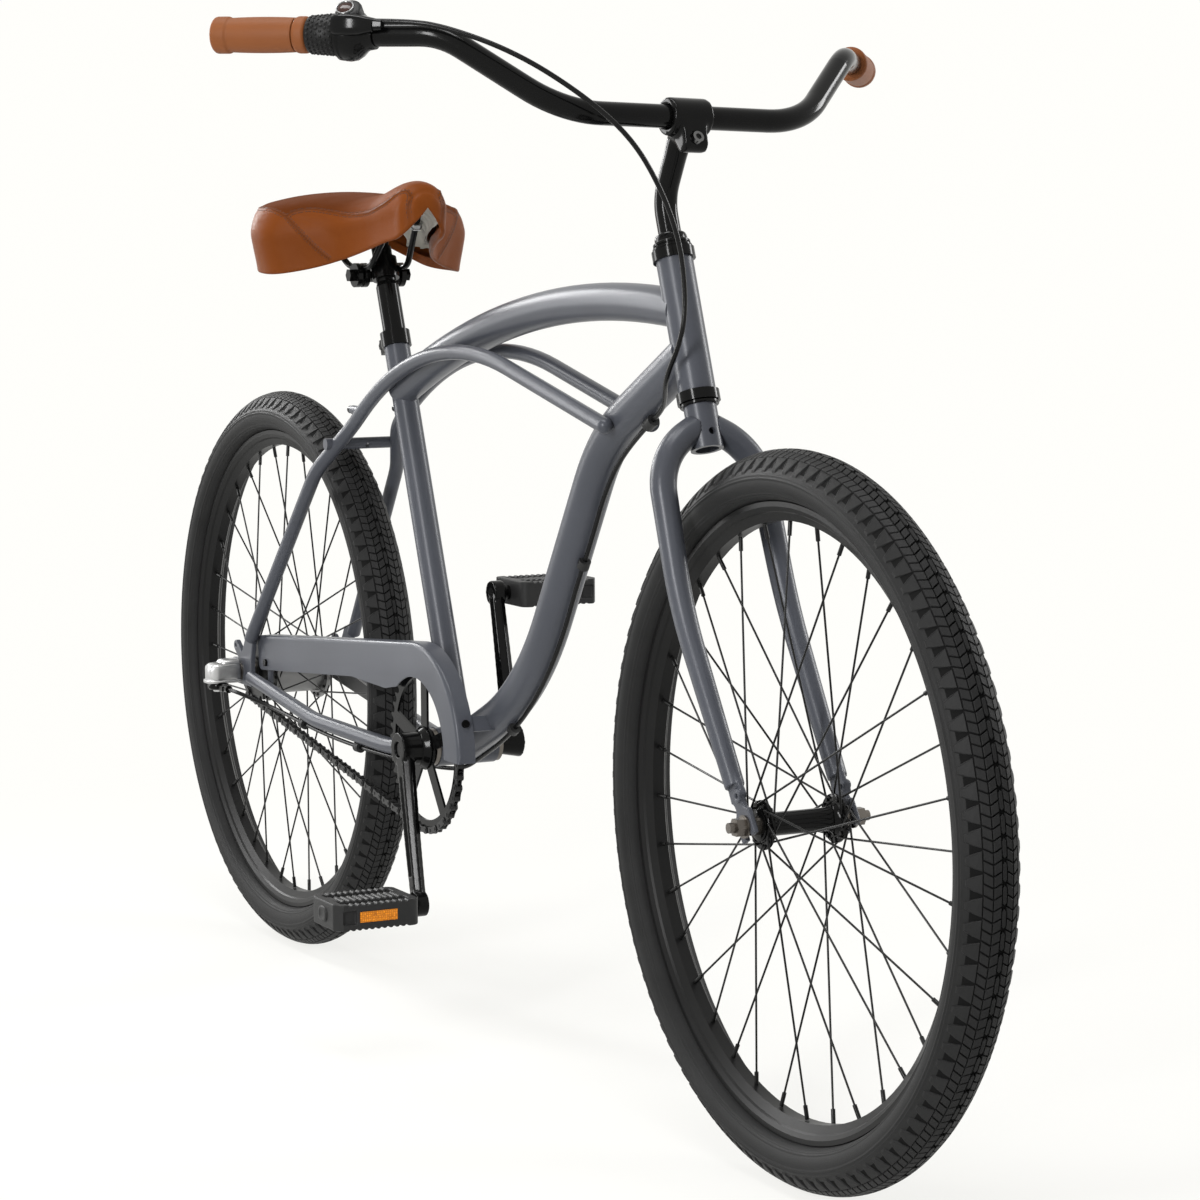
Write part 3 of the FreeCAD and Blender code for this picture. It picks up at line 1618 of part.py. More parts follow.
def make_right_crank():
    outer = bb_point - Y_AXIS * crank_boss_outer
    ring_face = chainline + tooth_thickness / 2
    spider_face = bb_point - Y_AXIS * (ring_face + seat_gap)
    boss = rod(bb_point - Y_AXIS * (chainline - tooth_thickness), outer, crank_boss_radius)
    spider = cone(spider_face, bb_point - Y_AXIS * crank_boss_inner, chainring_hub_radius, crank_boss_radius)
    return finish_crank(RIGHT, fused([crank_arm(RIGHT), boss, spider]))


def make_left_crank():
    inner = bb_point + Y_AXIS * left_boss_inner
    boss = cone(inner, bb_point + Y_AXIS * left_boss_outer, left_boss_narrow_radius, crank_boss_radius)
    return finish_crank(LEFT, fused([crank_arm(LEFT), boss]))


def pedal_inner_face(side):
    return eye_outer(side) + pedal_collar_length + seat_gap


def make_pedal_spindles():
    spindles = []
    for side in SIDES:
        eye = pedal_eye(side)
        start = eye + Y_AXIS * (side * (eye_outer(side) - crank_eye_thickness))
        face = eye + Y_AXIS * (side * eye_outer(side))
        collar = rod(face, face + Y_AXIS * (side * pedal_collar_length), pedal_collar_radius)
        end = eye + Y_AXIS * (side * (pedal_inner_face(side) + pedal_length - pedal_end_wall - seat_gap))
        spindles.append(fused([rod(start, end, pedal_spindle_radius), collar]))
    return Part.makeCompound(spindles)


def reflector_seats(side):
    eye = pedal_eye(side)
    middle = side * (pedal_inner_face(side) + pedal_length / 2)
    seats = []
    for end in (-1, 1):
        face = eye + Vec(end * pedal_depth / 2, middle, 0)
        seats.append((face, end))
    return seats


def make_pedal_reflectors(side):
    plates = []
    for face, end in reflector_seats(side):
        centre = face - X_AXIS * (end * reflector_depth / 2)
        plates.append(block(centre, reflector_depth, reflector_length, reflector_height))
    return Part.makeCompound(plates)


def pedal_window(side, end):
    eye = pedal_eye(side)
    inner_edge = pedal_barrel_radius
    outer_edge = pedal_depth / 2 - pedal_rail
    centre = eye + Vec(end * (inner_edge + outer_edge) / 2, side * (pedal_inner_face(side) + pedal_length / 2), 0)
    return block(centre, outer_edge - inner_edge, pedal_length - 2 * pedal_end_wall, pedal_height + 2 * overrun)


def pedal_skids(side):
    eye = pedal_eye(side)
    count = int((pedal_length - 2 * pedal_end_wall) / pedal_skid_pitch)
    start = pedal_inner_face(side) + pedal_length / 2 - (count - 1) * pedal_skid_pitch / 2
    skids = []
    for index in range(count):
        for up in (-1, 1):
            centre = eye + Vec(0, side * (start + index * pedal_skid_pitch), up * pedal_height / 2)
            skids.append(block(centre, pedal_depth + overrun, pedal_skid_pitch / 2, 2 * pedal_skid_height))
    return Part.makeCompound(skids)


def make_pedal(side):
    eye = pedal_eye(side)
    middle = eye + Y_AXIS * (side * (pedal_inner_face(side) + pedal_length / 2))
    body = block(middle, pedal_depth, pedal_length, pedal_height)
    uprights = [edge for edge in body.Edges if abs(edge.Vertexes[0].Z - edge.Vertexes[1].Z) > pedal_height / 2]
    body = body.makeFillet(pedal_corner, uprights)
    body = body.cut(pedal_window(side, -1)).cut(pedal_window(side, 1)).cut(pedal_skids(side))
    for face, end in reflector_seats(side):
        grow = 2 * reflector_clearance
        pocket = block(face, 2 * reflector_depth + grow, reflector_length + grow, reflector_height + grow)
        body = body.cut(pocket)
    start = eye + Y_AXIS * (side * (pedal_inner_face(side) - overrun))
    end = eye + Y_AXIS * (side * (pedal_inner_face(side) + pedal_length - pedal_end_wall))
    return body.cut(rod(start, end, pedal_spindle_radius + running_clearance))


# Chain guard
def guard_arc(radius, start_angle, end_angle):
    def at(angle):
        turn = math.radians(angle)
        return bb_point + Vec(radius * math.cos(turn), 0, radius * math.sin(turn))

    return Part.Arc(at(start_angle), at((start_angle + end_angle) / 2), at(end_angle)).toShape()


def guard_toe_angle(radius):
    return -math.degrees(math.asin(guard_toe_drop / radius))


def guard_top_point(behind, inset):
    turn = math.radians(guard_rise_angle)
    normal = Vec(-math.sin(turn), 0, math.cos(turn))
    along = Vec(-math.cos(turn), 0, -math.sin(turn))
    return bb_point + normal * (guard_outer_radius - inset) + along * behind


def make_chain_guard():
    top_angle = 90 + guard_rise_angle
    outer = guard_arc(guard_outer_radius, guard_toe_angle(guard_outer_radius), top_angle)
    inner = guard_arc(guard_inner_radius, guard_mouth_angle, guard_toe_angle(guard_inner_radius))
    turn = math.radians(guard_rise_angle)
    down = Vec(math.sin(turn), 0, -math.cos(turn))
    tail_top = guard_top_point(guard_length_behind_crank, 0)
    tail_low = tail_top + down * guard_tail_depth
    low = bb_point + Vec(-guard_low_behind, 0, guard_low_above)
    tip = bb_point + Vec(-guard_tip_behind, 0, guard_tip_above)
    corner = guard_corner_radius
    along = (guard_top_point(0, 0) - tail_top).normalize()
    low_along = (low - tail_low).normalize()
    top_start = tail_top + along * corner
    side_top = tail_top + down * corner
    side_low = tail_low - down * corner
    low_start = tail_low + low_along * corner
    soft = corner * (1 - math.sqrt(0.5))
    chain_edges = [
        Part.LineSegment(outer.Vertexes[-1].Point, top_start).toShape(),
        Part.Arc(top_start, tail_top + (along + down) * soft, side_top).toShape(),
        Part.LineSegment(side_top, side_low).toShape(),
        Part.Arc(side_low, tail_low + (low_along - down) * soft, low_start).toShape(),
        Part.LineSegment(low_start, low).toShape(),
        Part.LineSegment(low, tip).toShape(),
        Part.LineSegment(tip, inner.Vertexes[0].Point).toShape(),
        inner,
        Part.LineSegment(inner.Vertexes[-1].Point, outer.Vertexes[0].Point).toShape(),
    ]
    outline = Part.Wire([outer] + chain_edges)
    sheet = Part.Face(outline).extrude(Y_AXIS * guard_sheet)
    inset = guard_sheet
    inner_rim = guard_arc(guard_outer_radius - inset, guard_toe_angle(guard_outer_radius), top_angle)
    tail_outer = guard_top_point(guard_length_behind_crank - corner, 0)
    tail_inner = guard_top_point(guard_length_behind_crank - corner, inset)
    rim_edges = [
        outer,
        Part.LineSegment(outer.Vertexes[-1].Point, tail_outer).toShape(),
        Part.LineSegment(tail_outer, tail_inner).toShape(),
        Part.LineSegment(tail_inner, inner_rim.Vertexes[-1].Point).toShape(),
        inner_rim,
        Part.LineSegment(inner_rim.Vertexes[0].Point, outer.Vertexes[0].Point).toShape(),
    ]
    rim = Part.Face(Part.Wire(rim_edges)).extrude(Y_AXIS * guard_flange)
    body = moved(fused([sheet, rim]), Y_AXIS * -guard_face_side)
    centre, out, up = guard_screw_frame()
    hole_end = centre + out * (guard_outer_radius + overrun)
    front_hole = rod(centre + out * guard_inner_radius, hole_end, guard_screw_radius + weld_gap)
    tail = guard_tail_screw_point()
    tail_hole = rod(tail - Y_AXIS * overrun, tail + Y_AXIS * overrun, guard_screw_radius + weld_gap)
    return body.cut(front_hole).cut(tail_hole)


def guard_tail_screw_point():
    return from_bb(-guard_tail_screw_behind, -guard_face_side - bb_point.y, guard_tail_screw_above)


def make_frame_bolts():
    pieces = [make_rack_bolt(side) for side in SIDES]
    centre, out, up = guard_screw_frame()
    outer = centre + out * guard_outer_radius
    inner = centre + out * (guard_tab_reach() - guard_tab_thickness)
    pieces.append(fused([rod(outer, outer + out * guard_screw_head, guard_screw_head_radius),
                         rod(inner, outer, guard_screw_radius)]))
    tail = guard_tail_screw_point()
    nut_start = tail + Y_AXIS * guard_sheet
    head = rod(tail - Y_AXIS * guard_screw_head, tail, guard_screw_head_radius)
    shank_end = nut_start + Y_AXIS * (2 * guard_stub_radius)
    shank = rod(tail, shank_end, guard_screw_radius)
    pieces.append(fused([head, shank]))
    pieces.append(make_seat_collar_bolt())
    return Part.makeCompound(pieces)


def make_guard_stub():
    tail = guard_tail_screw_point()
    eye_start = tail + Y_AXIS * guard_sheet
    eye_end = eye_start + Y_AXIS * (2 * guard_stub_radius)
    eye = rod(eye_start, eye_end, guard_screw_radius + guard_stub_radius)
    centre = (eye_start + eye_end) * 0.5
    foot = stub_foot(centre)
    knee = Vec(centre.x, centre.y, foot.z)
    legs = [rod(centre, knee, guard_stub_leg_radius), rod(knee, foot, guard_stub_leg_radius),
            Part.makeSphere(guard_stub_leg_radius, knee)]
    bore = rod(tail, eye_end + Y_AXIS * overrun, guard_screw_radius + weld_gap)
    return largest(fused([eye] + legs).cut(bore).cut(chainstay_rod(RIGHT)))


def stub_foot(centre):
    rear, bend = chainstay_points(RIGHT)[:2]
    share = (centre.x - rear.x) / (bend.x - rear.x)
    return rear + (bend - rear) * share


# Seat clamp collar
def make_seat_clamp():
    top = seat_tube_length + seat_collar_lip
    foot = top - seat_collar_height
    ring = rod(on_seat(foot), on_seat(top), seat_collar_radius)
    ear_centre = on_seat((foot + top) / 2, 0, -seat_collar_radius - seat_collar_ear / 2)
    ear = block(ORIGIN, seat_collar_ear + 2 * seat_collar_slot, seat_collar_ear_width, seat_collar_height)
    ear = seat_aligned(ear, ear_centre)
    slot = block(ORIGIN, 2 * (seat_collar_ear + seat_collar_radius - seat_tube_radius) + overrun,
                 seat_collar_slot, seat_collar_height + 2 * overrun)
    slot = seat_aligned(slot, ear_centre)
    bore = rod(on_seat(foot - overrun), on_seat(seat_tube_length + weld_gap), seat_tube_radius + weld_gap)
    post = rod(on_seat(foot - overrun), on_seat(top + overrun), seatpost_radius + seat_gap)
    hole = rod(ear_centre - Y_AXIS * seat_collar_ear_width, ear_centre + Y_AXIS * seat_collar_ear_width,
               seat_collar_bolt_radius + weld_gap)
    return fused([ring, ear]).cut(bore).cut(post).cut(slot).cut(hole)


def seat_aligned(shape, centre):
    placed = shape.copy()
    placed.Placement = FreeCAD.Placement(centre, FreeCAD.Rotation(Y_AXIS, seat_angle - 90))
    return placed


def make_seat_collar_bolt():
    top = seat_tube_length + seat_collar_lip
    centre = on_seat(top - seat_collar_height / 2, 0, -seat_collar_radius - seat_collar_ear / 2)
    half = seat_collar_ear_width / 2
    shank = rod(centre - Y_AXIS * half, centre + Y_AXIS * half, seat_collar_bolt_radius)
    head = hexagon_nut(centre - Y_AXIS * half, Y_AXIS * -1, 3 * seat_collar_bolt_radius,
                       seat_collar_bolt_radius, running_clearance)
    nut = hexagon_nut(centre + Y_AXIS * half, Y_AXIS, 3 * seat_collar_bolt_radius,
                      seat_collar_bolt_radius, running_clearance)
    return fused([shank, head, nut])


# Seatpost and saddle clamp
post_shoulder_along = seat_tube_length + seat_collar_lip + seatpost_visible
post_neck_along = post_shoulder_along + seatpost_shoulder
post_top_along = post_neck_along + seatpost_neck_length


def make_seatpost():
    foot = on_seat(seat_tube_length - seatpost_insert)
    tube = rod(foot, on_seat(post_shoulder_along), seatpost_radius)
    shoulder = cone(on_seat(post_shoulder_along), on_seat(post_neck_along), seatpost_radius, seatpost_neck_radius)
    neck = rod(on_seat(post_neck_along), on_seat(post_top_along), seatpost_neck_radius)
    return fused([tube, shoulder, neck])


def clamp_bolt_point():
    return on_seat(post_neck_along + clamp_bolt_above_shoulder, 0, -clamp_bolt_behind)


def make_saddle_clamp():
    centre = clamp_bolt_point()
    foot = post_neck_along + clamp_bolt_above_shoulder - clamp_band_height / 2
    top = foot + clamp_band_height
    band = rod(on_seat(foot), on_seat(top), clamp_band_radius)
    ear = rod(centre - Y_AXIS * clamp_ear_side, centre + Y_AXIS * clamp_ear_side, clamp_bolt_radius * 2)
    bore = rod(on_seat(foot - overrun), on_seat(top + overrun), seatpost_neck_radius + weld_gap)
    bolt = rod(centre - Y_AXIS * clamp_bolt_half_length, centre + Y_AXIS * clamp_bolt_half_length,
               clamp_bolt_radius)
    nuts = []
    for side in SIDES:
        face = centre + Y_AXIS * (side * (clamp_bolt_half_length - clamp_nut_height))
        nuts.append(hexagon_nut(face, Y_AXIS * side, clamp_nut_across, clamp_nut_height, running_clearance))
    return fused([fused([band, ear]).cut(bore), bolt] + nuts)


# Saddle rails with the plates that grip them, saddle base and padded cover
def rail_points(side):
    bolt = clamp_bolt_point()
    flat_z = saddle_rail_above_bolt
    half = saddle_rail_flat / 2
    return [
        bolt + Vec(saddle_rail_nose_ahead, side * saddle_rail_nose_side, saddle_rail_nose_above),
        bolt + Vec(half, side * saddle_rail_side, flat_z),
        bolt + Vec(-half, side * saddle_rail_side, flat_z),
        bolt + Vec(-saddle_rail_tail_behind, side * saddle_rail_tail_side, saddle_rail_tail_above),
    ]


def clamp_plates(side):
    bolt = clamp_bolt_point()
    plates = []
    rail_side = side * saddle_rail_side
    for step in (-1, 1):
        near = rail_side + step * (saddle_rail_radius / 2)
        far = near + step * clamp_plate_thickness
        disc = rod(bolt + Y_AXIS * near, bolt + Y_AXIS * far, clamp_plate_radius)
        plates.append(disc)
    return plates


def make_saddle_frame():
    pieces = []
    bolt = clamp_bolt_point()
    base = saddle_base_solid()
    for side in SIDES:
        rail = swept(rail_points(side), [saddle_rail_bend, saddle_rail_bend], saddle_rail_radius)
        rail = largest(rail.cut(base))
        hole = rod(bolt - Y_AXIS * clamp_bolt_half_length, bolt + Y_AXIS * clamp_bolt_half_length,
                   clamp_bolt_radius + running_clearance)
        whole = fused([rail] + clamp_plates(side)).cut(hole)
        pieces.append(whole)
    return Part.makeCompound(pieces)


def saddle_place(share):
    return clamp_bolt_point().x + saddle_nose_ahead_of_bolt - saddle_length * (1 - share)


def saddle_low():
    return clamp_bolt_point().z + saddle_low_above_bolt


def saddle_section(row, side_inset, crown_inset, skirt_rise):
    place, width, crown, skirt, shoulder = row
    x = saddle_place(place)
    full = saddle_half_width * width
    half = full ** 2 / (full + side_inset)
    top = saddle_low() + saddle_height * crown - crown_inset
    low = saddle_low() + saddle_height * skirt + skirt_rise
    drop = (top - low) * saddle_shoulder_drop_share
    shoulder_half = half * shoulder
    bulge = top - (top - low) * saddle_side_bulge_share
    foot_half = half * saddle_tuck_share

    def at(side, height):
        return Vec(x, side, height)

    cap_quarter = drop / 4
    left_quarter = at(shoulder_half / 2, top - cap_quarter)
    right_quarter = at(-shoulder_half / 2, top - cap_quarter)
    edges = [
        Part.Arc(at(foot_half, low), at(half, bulge), at(shoulder_half, top - drop)).toShape(),
        Part.Arc(at(shoulder_half, top - drop), left_quarter, at(0, top)).toShape(),
        Part.Arc(at(0, top), right_quarter, at(-shoulder_half, top - drop)).toShape(),
        Part.Arc(at(-shoulder_half, top - drop), at(-half, bulge), at(-foot_half, low)).toShape(),
        Part.LineSegment(at(-foot_half, low), at(foot_half, low)).toShape(),
    ]
    return Part.Wire(edges)


def saddle_loft(rows, side_inset, crown_inset, skirt_rise):
    return Part.makeLoft([saddle_section(row, side_inset, crown_inset, skirt_rise) for row in rows], True, False)


def saddle_outside():
    return saddle_loft(saddle_section_shares, 0, 0, 0)


def saddle_hollow(gap):
    return saddle_loft(saddle_section_shares[1:-1], saddle_padding + gap, saddle_crown_padding + gap, -overrun)


def make_saddle_cover():
    return saddle_outside().cut(saddle_hollow(0))


def saddle_base_solid():
    shell = saddle_hollow(seat_gap).cut(saddle_hollow(seat_gap + saddle_base_wall))
    rows = saddle_section_shares[1:-1]
    start = saddle_place(rows[0][0]) + seat_gap
    end = saddle_place(rows[-1][0]) - seat_gap
    middle = Vec((start + end) / 2, 0, saddle_low())
    span = block(middle, end - start, 2 * saddle_half_width, 4 * saddle_height)
    return largest(shell.common(saddle_outside()).common(span))


def make_saddle_base():
    return saddle_base_solid()


# Coaster brake arm with its strap round the left chainstay
def brake_arm_direction():
    turn = math.radians(brake_arm_drop_angle)
    return Vec(math.cos(turn), 0, -math.sin(turn))


def make_brake_arm():
    along = brake_arm_direction()
    across = Y_AXIS.cross(along)
    start = rear_axle_point
    end = rear_axle_point + along * brake_arm_length
    wide = brake_arm_width / 2
    narrow = brake_arm_tip_width / 2
    blade = plate([start + across * wide, end + across * narrow, end - across * narrow, start - across * wide],
                  brake_arm_side, brake_arm_thickness)
    foot = rear_axle_point + Y_AXIS * brake_arm_side
    boss = rod(foot, foot + Y_AXIS * brake_arm_thickness, wide + rear_axle_radius)
    tip_foot = end + Y_AXIS * brake_arm_side
    tip = rod(tip_foot, tip_foot + Y_AXIS * brake_arm_thickness, narrow)
    hole = rod(foot - Y_AXIS * overrun, foot + Y_AXIS * (brake_arm_thickness + overrun),
               rear_cone_radius + weld_gap)
    arm = fused([blade, boss, tip]).cut(hole)
    return Part.makeCompound([largest(arm.cut(chainstay_rod(LEFT))), make_brake_strap(end)])


def make_brake_strap(end):
    rear, bend = chainstay_points(LEFT)[:2]
    share = (end.x - rear.x) / (bend.x - rear.x)
    centre = rear + (bend - rear) * share
    direction = (bend - rear).normalize()
    start = centre - direction * (brake_strap_width / 2)
    stop = centre + direction * (brake_strap_width / 2)
    tube_here = chainstay_rear_radius + (chainstay_front_radius - chainstay_rear_radius) / 2
    ring = rod(start, stop, tube_here + brake_strap_thickness)
    ring = ring.cut(chainstay_rod(LEFT))
    keep = Y_AXIS * (brake_arm_side + brake_arm_thickness + weld_gap)
    trim = block(Vec(centre.x, keep.y - tube_here, centre.z), 4 * tube_here, 2 * tube_here, 4 * tube_here)
    return largest(ring.cut(trim))


# Hub shift unit on the right end of the rear axle, with the bell crank that swings below it
def bell_pivot_point():
    return rear_axle_point - Y_AXIS * shift_pivot_side - Z_AXIS * (shift_cover_height / 2)


def make_shift_unit():
    length = shift_cover_end - shift_cover_start
    middle = rear_axle_point - Y_AXIS * (shift_cover_start + length / 2)
    cover = block(middle, shift_cover_width, length, shift_cover_height)
    cover = cover.makeFillet(shift_cover_corner, [edge for edge in cover.Edges
                                                  if edge.CenterOfMass.y < middle.y + length / 4])
    bore = rod(rear_axle_point, rear_axle_point - Y_AXIS * (shift_cover_start + shift_cover_bore_depth),
               shift_cover_bore)
    pivot = bell_pivot_point()
    below = pivot - Z_AXIS * (bell_plate + 2 * bell_gap)
    pin = rod(pivot + Z_AXIS * shift_pivot_radius, below, shift_pivot_radius)
    head = rod(below, below - Z_AXIS * shift_pivot_head, 2 * shift_pivot_radius)
    return fused([cover.cut(bore), pin, head])


def make_bell_crank():
    pivot = bell_pivot_point()
    top = pivot - Z_AXIS * bell_gap
    foot = top - Z_AXIS * bell_plate
    eye = rod(foot, top, bell_eye_radius)
    middle = (top + foot) * 0.5
    arm = block(middle + X_AXIS * (bell_arm_length / 2), bell_arm_length, bell_arm_width, bell_plate)
    tip = middle + X_AXIS * bell_arm_length
    anchor = rod(tip - X_AXIS * bell_anchor_length, tip + X_AXIS * bell_anchor_length, bell_anchor_radius)
    bore = rod(foot - Z_AXIS * overrun, top + Z_AXIS * overrun, shift_pivot_radius + running_clearance)
    socket = rod(tip, tip + X_AXIS * (bell_anchor_length + overrun), cable_radius + seat_gap)
    return fused([eye, arm, anchor]).cut(bore).cut(socket)


# Shift cable, its stop and clips
def cord(points):
    radii = []
    for before, corner, after in zip(points, points[1:], points[2:]):
        back = before - corner
        ahead = after - corner
        half_turn = (math.pi - back.getAngle(ahead)) / 2
        radii.append(cord_bend_share * min(back.Length, ahead.Length) / math.tan(half_turn))
    print("cord bend radii", [round(radius) for radius in radii])
    return swept(points, radii, cable_radius)


def route_points(route):
    return [Vec(*place) for place in route]


def nozzle_line():
    end = bar_points(RIGHT)[2] + grip_direction(RIGHT) * grip_cap
    placement = FreeCAD.Placement(end, FreeCAD.Rotation(X_AXIS, grip_direction(RIGHT) * -1))
    turn = FreeCAD.Rotation(steer_up, stem_turn)
    foot, tip = [steer_foot + turn.multVec(placement.multVec(point) - steer_foot) for point in nozzle_points()]
    return tip, (tip - foot).normalize()


def make_steering_cable():
    tip, out = nozzle_line()
    start = [tip - out * cable_in_nozzle, tip + out * cable_out_of_nozzle]
    return cord(start + route_points(steering_cable_route))


def make_frame_cable():
    return cord(route_points(frame_cable_route))


def cable_ring(start, end, length, carrier):
    middle = (start + end) * 0.5
    half = (end - start).normalize() * (length / 2)
    ring = hollow_rod(middle - half, middle + half, clip_radius, cable_radius + weld_gap)
    return largest(ring.cut(carrier))


def make_cable_clips():
    route = route_points(frame_cable_route)
    before, stop_end = route_points(steering_cable_route)[-2:]
    stop_start = stop_end - (stop_end - before).normalize() * stop_length
    clips = [cable_ring(stop_start, stop_end, stop_length, down_tube_rod())]
    for run in (3, 7):
        clips.append(cable_ring(route[run], route[run + 1], clip_length, down_tube_rod()))
    for run in (13, 15):
        clips.append(cable_ring(route[run], route[run + 1], clip_length, chainstay_rod(RIGHT)))
    return Part.makeCompound(clips)


NODES = {
    "head_tube": make_head_tube,
    "top_tube": make_top_tube,
    "down_tube": make_down_tube,
    "seat_tube": make_seat_tube,
    "bottom_bracket_shell": make_bb_shell,
    "right_stay": lambda: make_stay(RIGHT),
    "left_stay": lambda: make_stay(LEFT),
    "right_chainstay": lambda: make_chainstay(RIGHT),
    "left_chainstay": lambda: make_chainstay(LEFT),
    "rear_dropouts": lambda: Part.makeCompound([make_dropout(side) for side in SIDES]),
    "frame_braze_ons": lambda: Part.makeCompound([make_braze_ons(), make_guard_stub()]),
    "headset_cups": make_headset_cups,
    "seat_clamp": make_seat_clamp,
    "bottom_bracket_cups": make_bb_cups,
    "chain_guard": make_chain_guard,
    "frame_bolts": make_frame_bolts,
    "rear_axle": make_rear_axle,
    "brake_arm": make_brake_arm,
    "shift_unit": make_shift_unit,
    "steering_cable": make_steering_cable,
    "frame_cable": make_frame_cable,
    "cable_clips": make_cable_clips,
    "bell_crank": make_bell_crank,
    "chain": make_chain,
    "fork_crown": make_fork_crown,
    "right_fork_blade": lambda: make_fork_blade(RIGHT),
    "left_fork_blade": lambda: make_fork_blade(LEFT),
    "headset_top": make_headset_top,
    "stem": lambda: stem_turned(make_stem()),
    "stem_bolt": lambda: stem_turned(make_stem_bolts()),
    "handlebar": lambda: stem_turned(make_handlebar()),
    "right_grip": lambda: stem_turned(make_grip(RIGHT, right_grip_length)),
    "left_grip": lambda: stem_turned(make_grip(LEFT, left_grip_length)),
    "shifter_housing": lambda: stem_turned(make_shifter_housing()),
    "shifter_sleeve": lambda: stem_turned(make_shifter_sleeve()),
    "front_axle": make_front_axle,
    "front_tyre": lambda: tyre_solid(front_axle_point),
    "front_rim": lambda: rim_solid(front_axle_point),
    "front_hub": make_front_hub,
    "front_spokes": lambda: spoke_set(-front_flange_spread / 2, front_flange_spread / 2, front_hole_circle,
                                      front_wheel_phase, front_axle_point),
    "rear_tyre": lambda: tyre_solid(rear_axle_point),
    "rear_rim": lambda: rim_solid(rear_axle_point),
    "rear_hub": make_rear_hub,
    "rear_spokes": lambda: spoke_set(-rear_flange_right, rear_flange_left, rear_hole_circle, rear_wheel_phase,
                                     rear_axle_point),
    "rear_sprocket": make_sprocket,
    "crank_spindle": make_crank_spindle,
    "right_crank": make_right_crank,
    "left_crank": make_left_crank,
    "chainring": make_chainring,
    "pedal_spindles": make_pedal_spindles,
    "right_pedal": lambda: make_pedal(RIGHT),
    "right_pedal_reflectors": lambda: make_pedal_reflectors(RIGHT),
    "left_pedal": lambda: make_pedal(LEFT),
    "left_pedal_reflectors": lambda: make_pedal_reflectors(LEFT),
    "seatpost": make_seatpost,
    "saddle_clamp": make_saddle_clamp,
    "saddle_frame": make_saddle_frame,
    "saddle_base": make_saddle_base,
    "saddle_cover": make_saddle_cover,
}


os.makedirs("parts", exist_ok=True)
for node, maker in NODES.items():
    shape = maker()
    print(node, "solids", len(shape.Solids), "valid", shape.isValid(), "volume", round(shape.Volume))
    shape.exportStep("parts/" + node + ".step")
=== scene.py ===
# Looks of the beach cruiser bicycle, in metres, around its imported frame.
# +X points forward, +Y to the rider's left and +Z up.

import bpy
import bmesh
import cmath
import json
import math
from contextlib import contextmanager
from mathutils import Matrix, Vector
from mathutils.kdtree import KDTree


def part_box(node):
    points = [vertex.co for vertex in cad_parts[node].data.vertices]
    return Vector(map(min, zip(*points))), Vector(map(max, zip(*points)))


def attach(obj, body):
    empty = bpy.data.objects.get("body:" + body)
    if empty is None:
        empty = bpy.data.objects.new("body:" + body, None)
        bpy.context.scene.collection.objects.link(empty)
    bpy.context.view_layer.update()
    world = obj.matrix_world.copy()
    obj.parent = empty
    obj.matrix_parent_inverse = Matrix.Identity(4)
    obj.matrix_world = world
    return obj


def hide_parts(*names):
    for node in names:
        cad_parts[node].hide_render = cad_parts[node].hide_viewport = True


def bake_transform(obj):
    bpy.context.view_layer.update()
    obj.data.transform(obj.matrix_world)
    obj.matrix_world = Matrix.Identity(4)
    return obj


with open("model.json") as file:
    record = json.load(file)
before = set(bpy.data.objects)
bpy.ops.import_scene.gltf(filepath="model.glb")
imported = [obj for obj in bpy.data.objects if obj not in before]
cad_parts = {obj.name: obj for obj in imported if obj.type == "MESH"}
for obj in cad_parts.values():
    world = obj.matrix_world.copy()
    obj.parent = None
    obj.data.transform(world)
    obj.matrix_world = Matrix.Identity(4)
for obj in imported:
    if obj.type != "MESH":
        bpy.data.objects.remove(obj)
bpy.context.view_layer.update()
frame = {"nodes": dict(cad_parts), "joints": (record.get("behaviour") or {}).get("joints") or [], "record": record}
scene = bpy.context.scene
nodes = frame["nodes"]
MM = 0.001
Y_AXIS = Vector((0, 1, 0))
Z_AXIS = Vector((0, 0, 1))
SIDES = (-1, 1)


# Places read from the frame
def joint_named(name):
    return next(joint for joint in frame["joints"] if joint["name"] == name)


def joint_place(name):
    return Vector(joint_named(name)["pos_m"])


front_axle = joint_place("front_wheel")
rear_axle = joint_place("rear_wheel")
steer_point = joint_place("steering")
steer_up = Vector(joint_named("steering")["axis"])
shifter_point = joint_place("twist_shifter")
shifter_axis = Vector(joint_named("twist_shifter")["axis"])
# The stem and bar are set a little to the left in the steerer
stem_turn = math.radians(4.77)
stem_side = Matrix.Rotation(stem_turn, 3, steer_up) @ Y_AXIS

# Mesh helpers
weld_reach = 0.01 * MM
hard_edge_angle = math.radians(35.0)
corner_steps = 3
corner_limit = 0.45
ease_factor = 0.5
# Sides of round pieces, from large to small
wide_round = 72
full_round = 64
small_round = 48
pin_round = 32
bump_round = 8
thread_round = 6


def in_metres(rows):
    return [tuple(value * MM for value in row) for row in rows]


def clamped(value):
    return min(max(value, 0.0), 1.0)


def add_object(name, data):
    made = bpy.data.objects.new(name, data)
    scene.collection.objects.link(made)
    return made


def mesh_object(name, points, faces, smooth=True):
    mesh = bpy.data.meshes.new(name)
    mesh.from_pydata([tuple(point) for point in points], [], faces)
    mesh.validate()
    mesh.polygons.foreach_set("use_smooth", [smooth] * len(mesh.polygons))
    return add_object(name, mesh)


@contextmanager
def edited(mesh):
    """A mesh's points, edges and faces, open for editing."""
    work = bmesh.new()
    work.from_mesh(mesh)
    yield work
    work.to_mesh(mesh)
    work.free()


def evaluated_mesh(piece):
    """The piece's shape with its modifiers, or a curve's thickness, worked out."""
    return bpy.data.meshes.new_from_object(piece.evaluated_get(bpy.context.evaluated_depsgraph_get()))


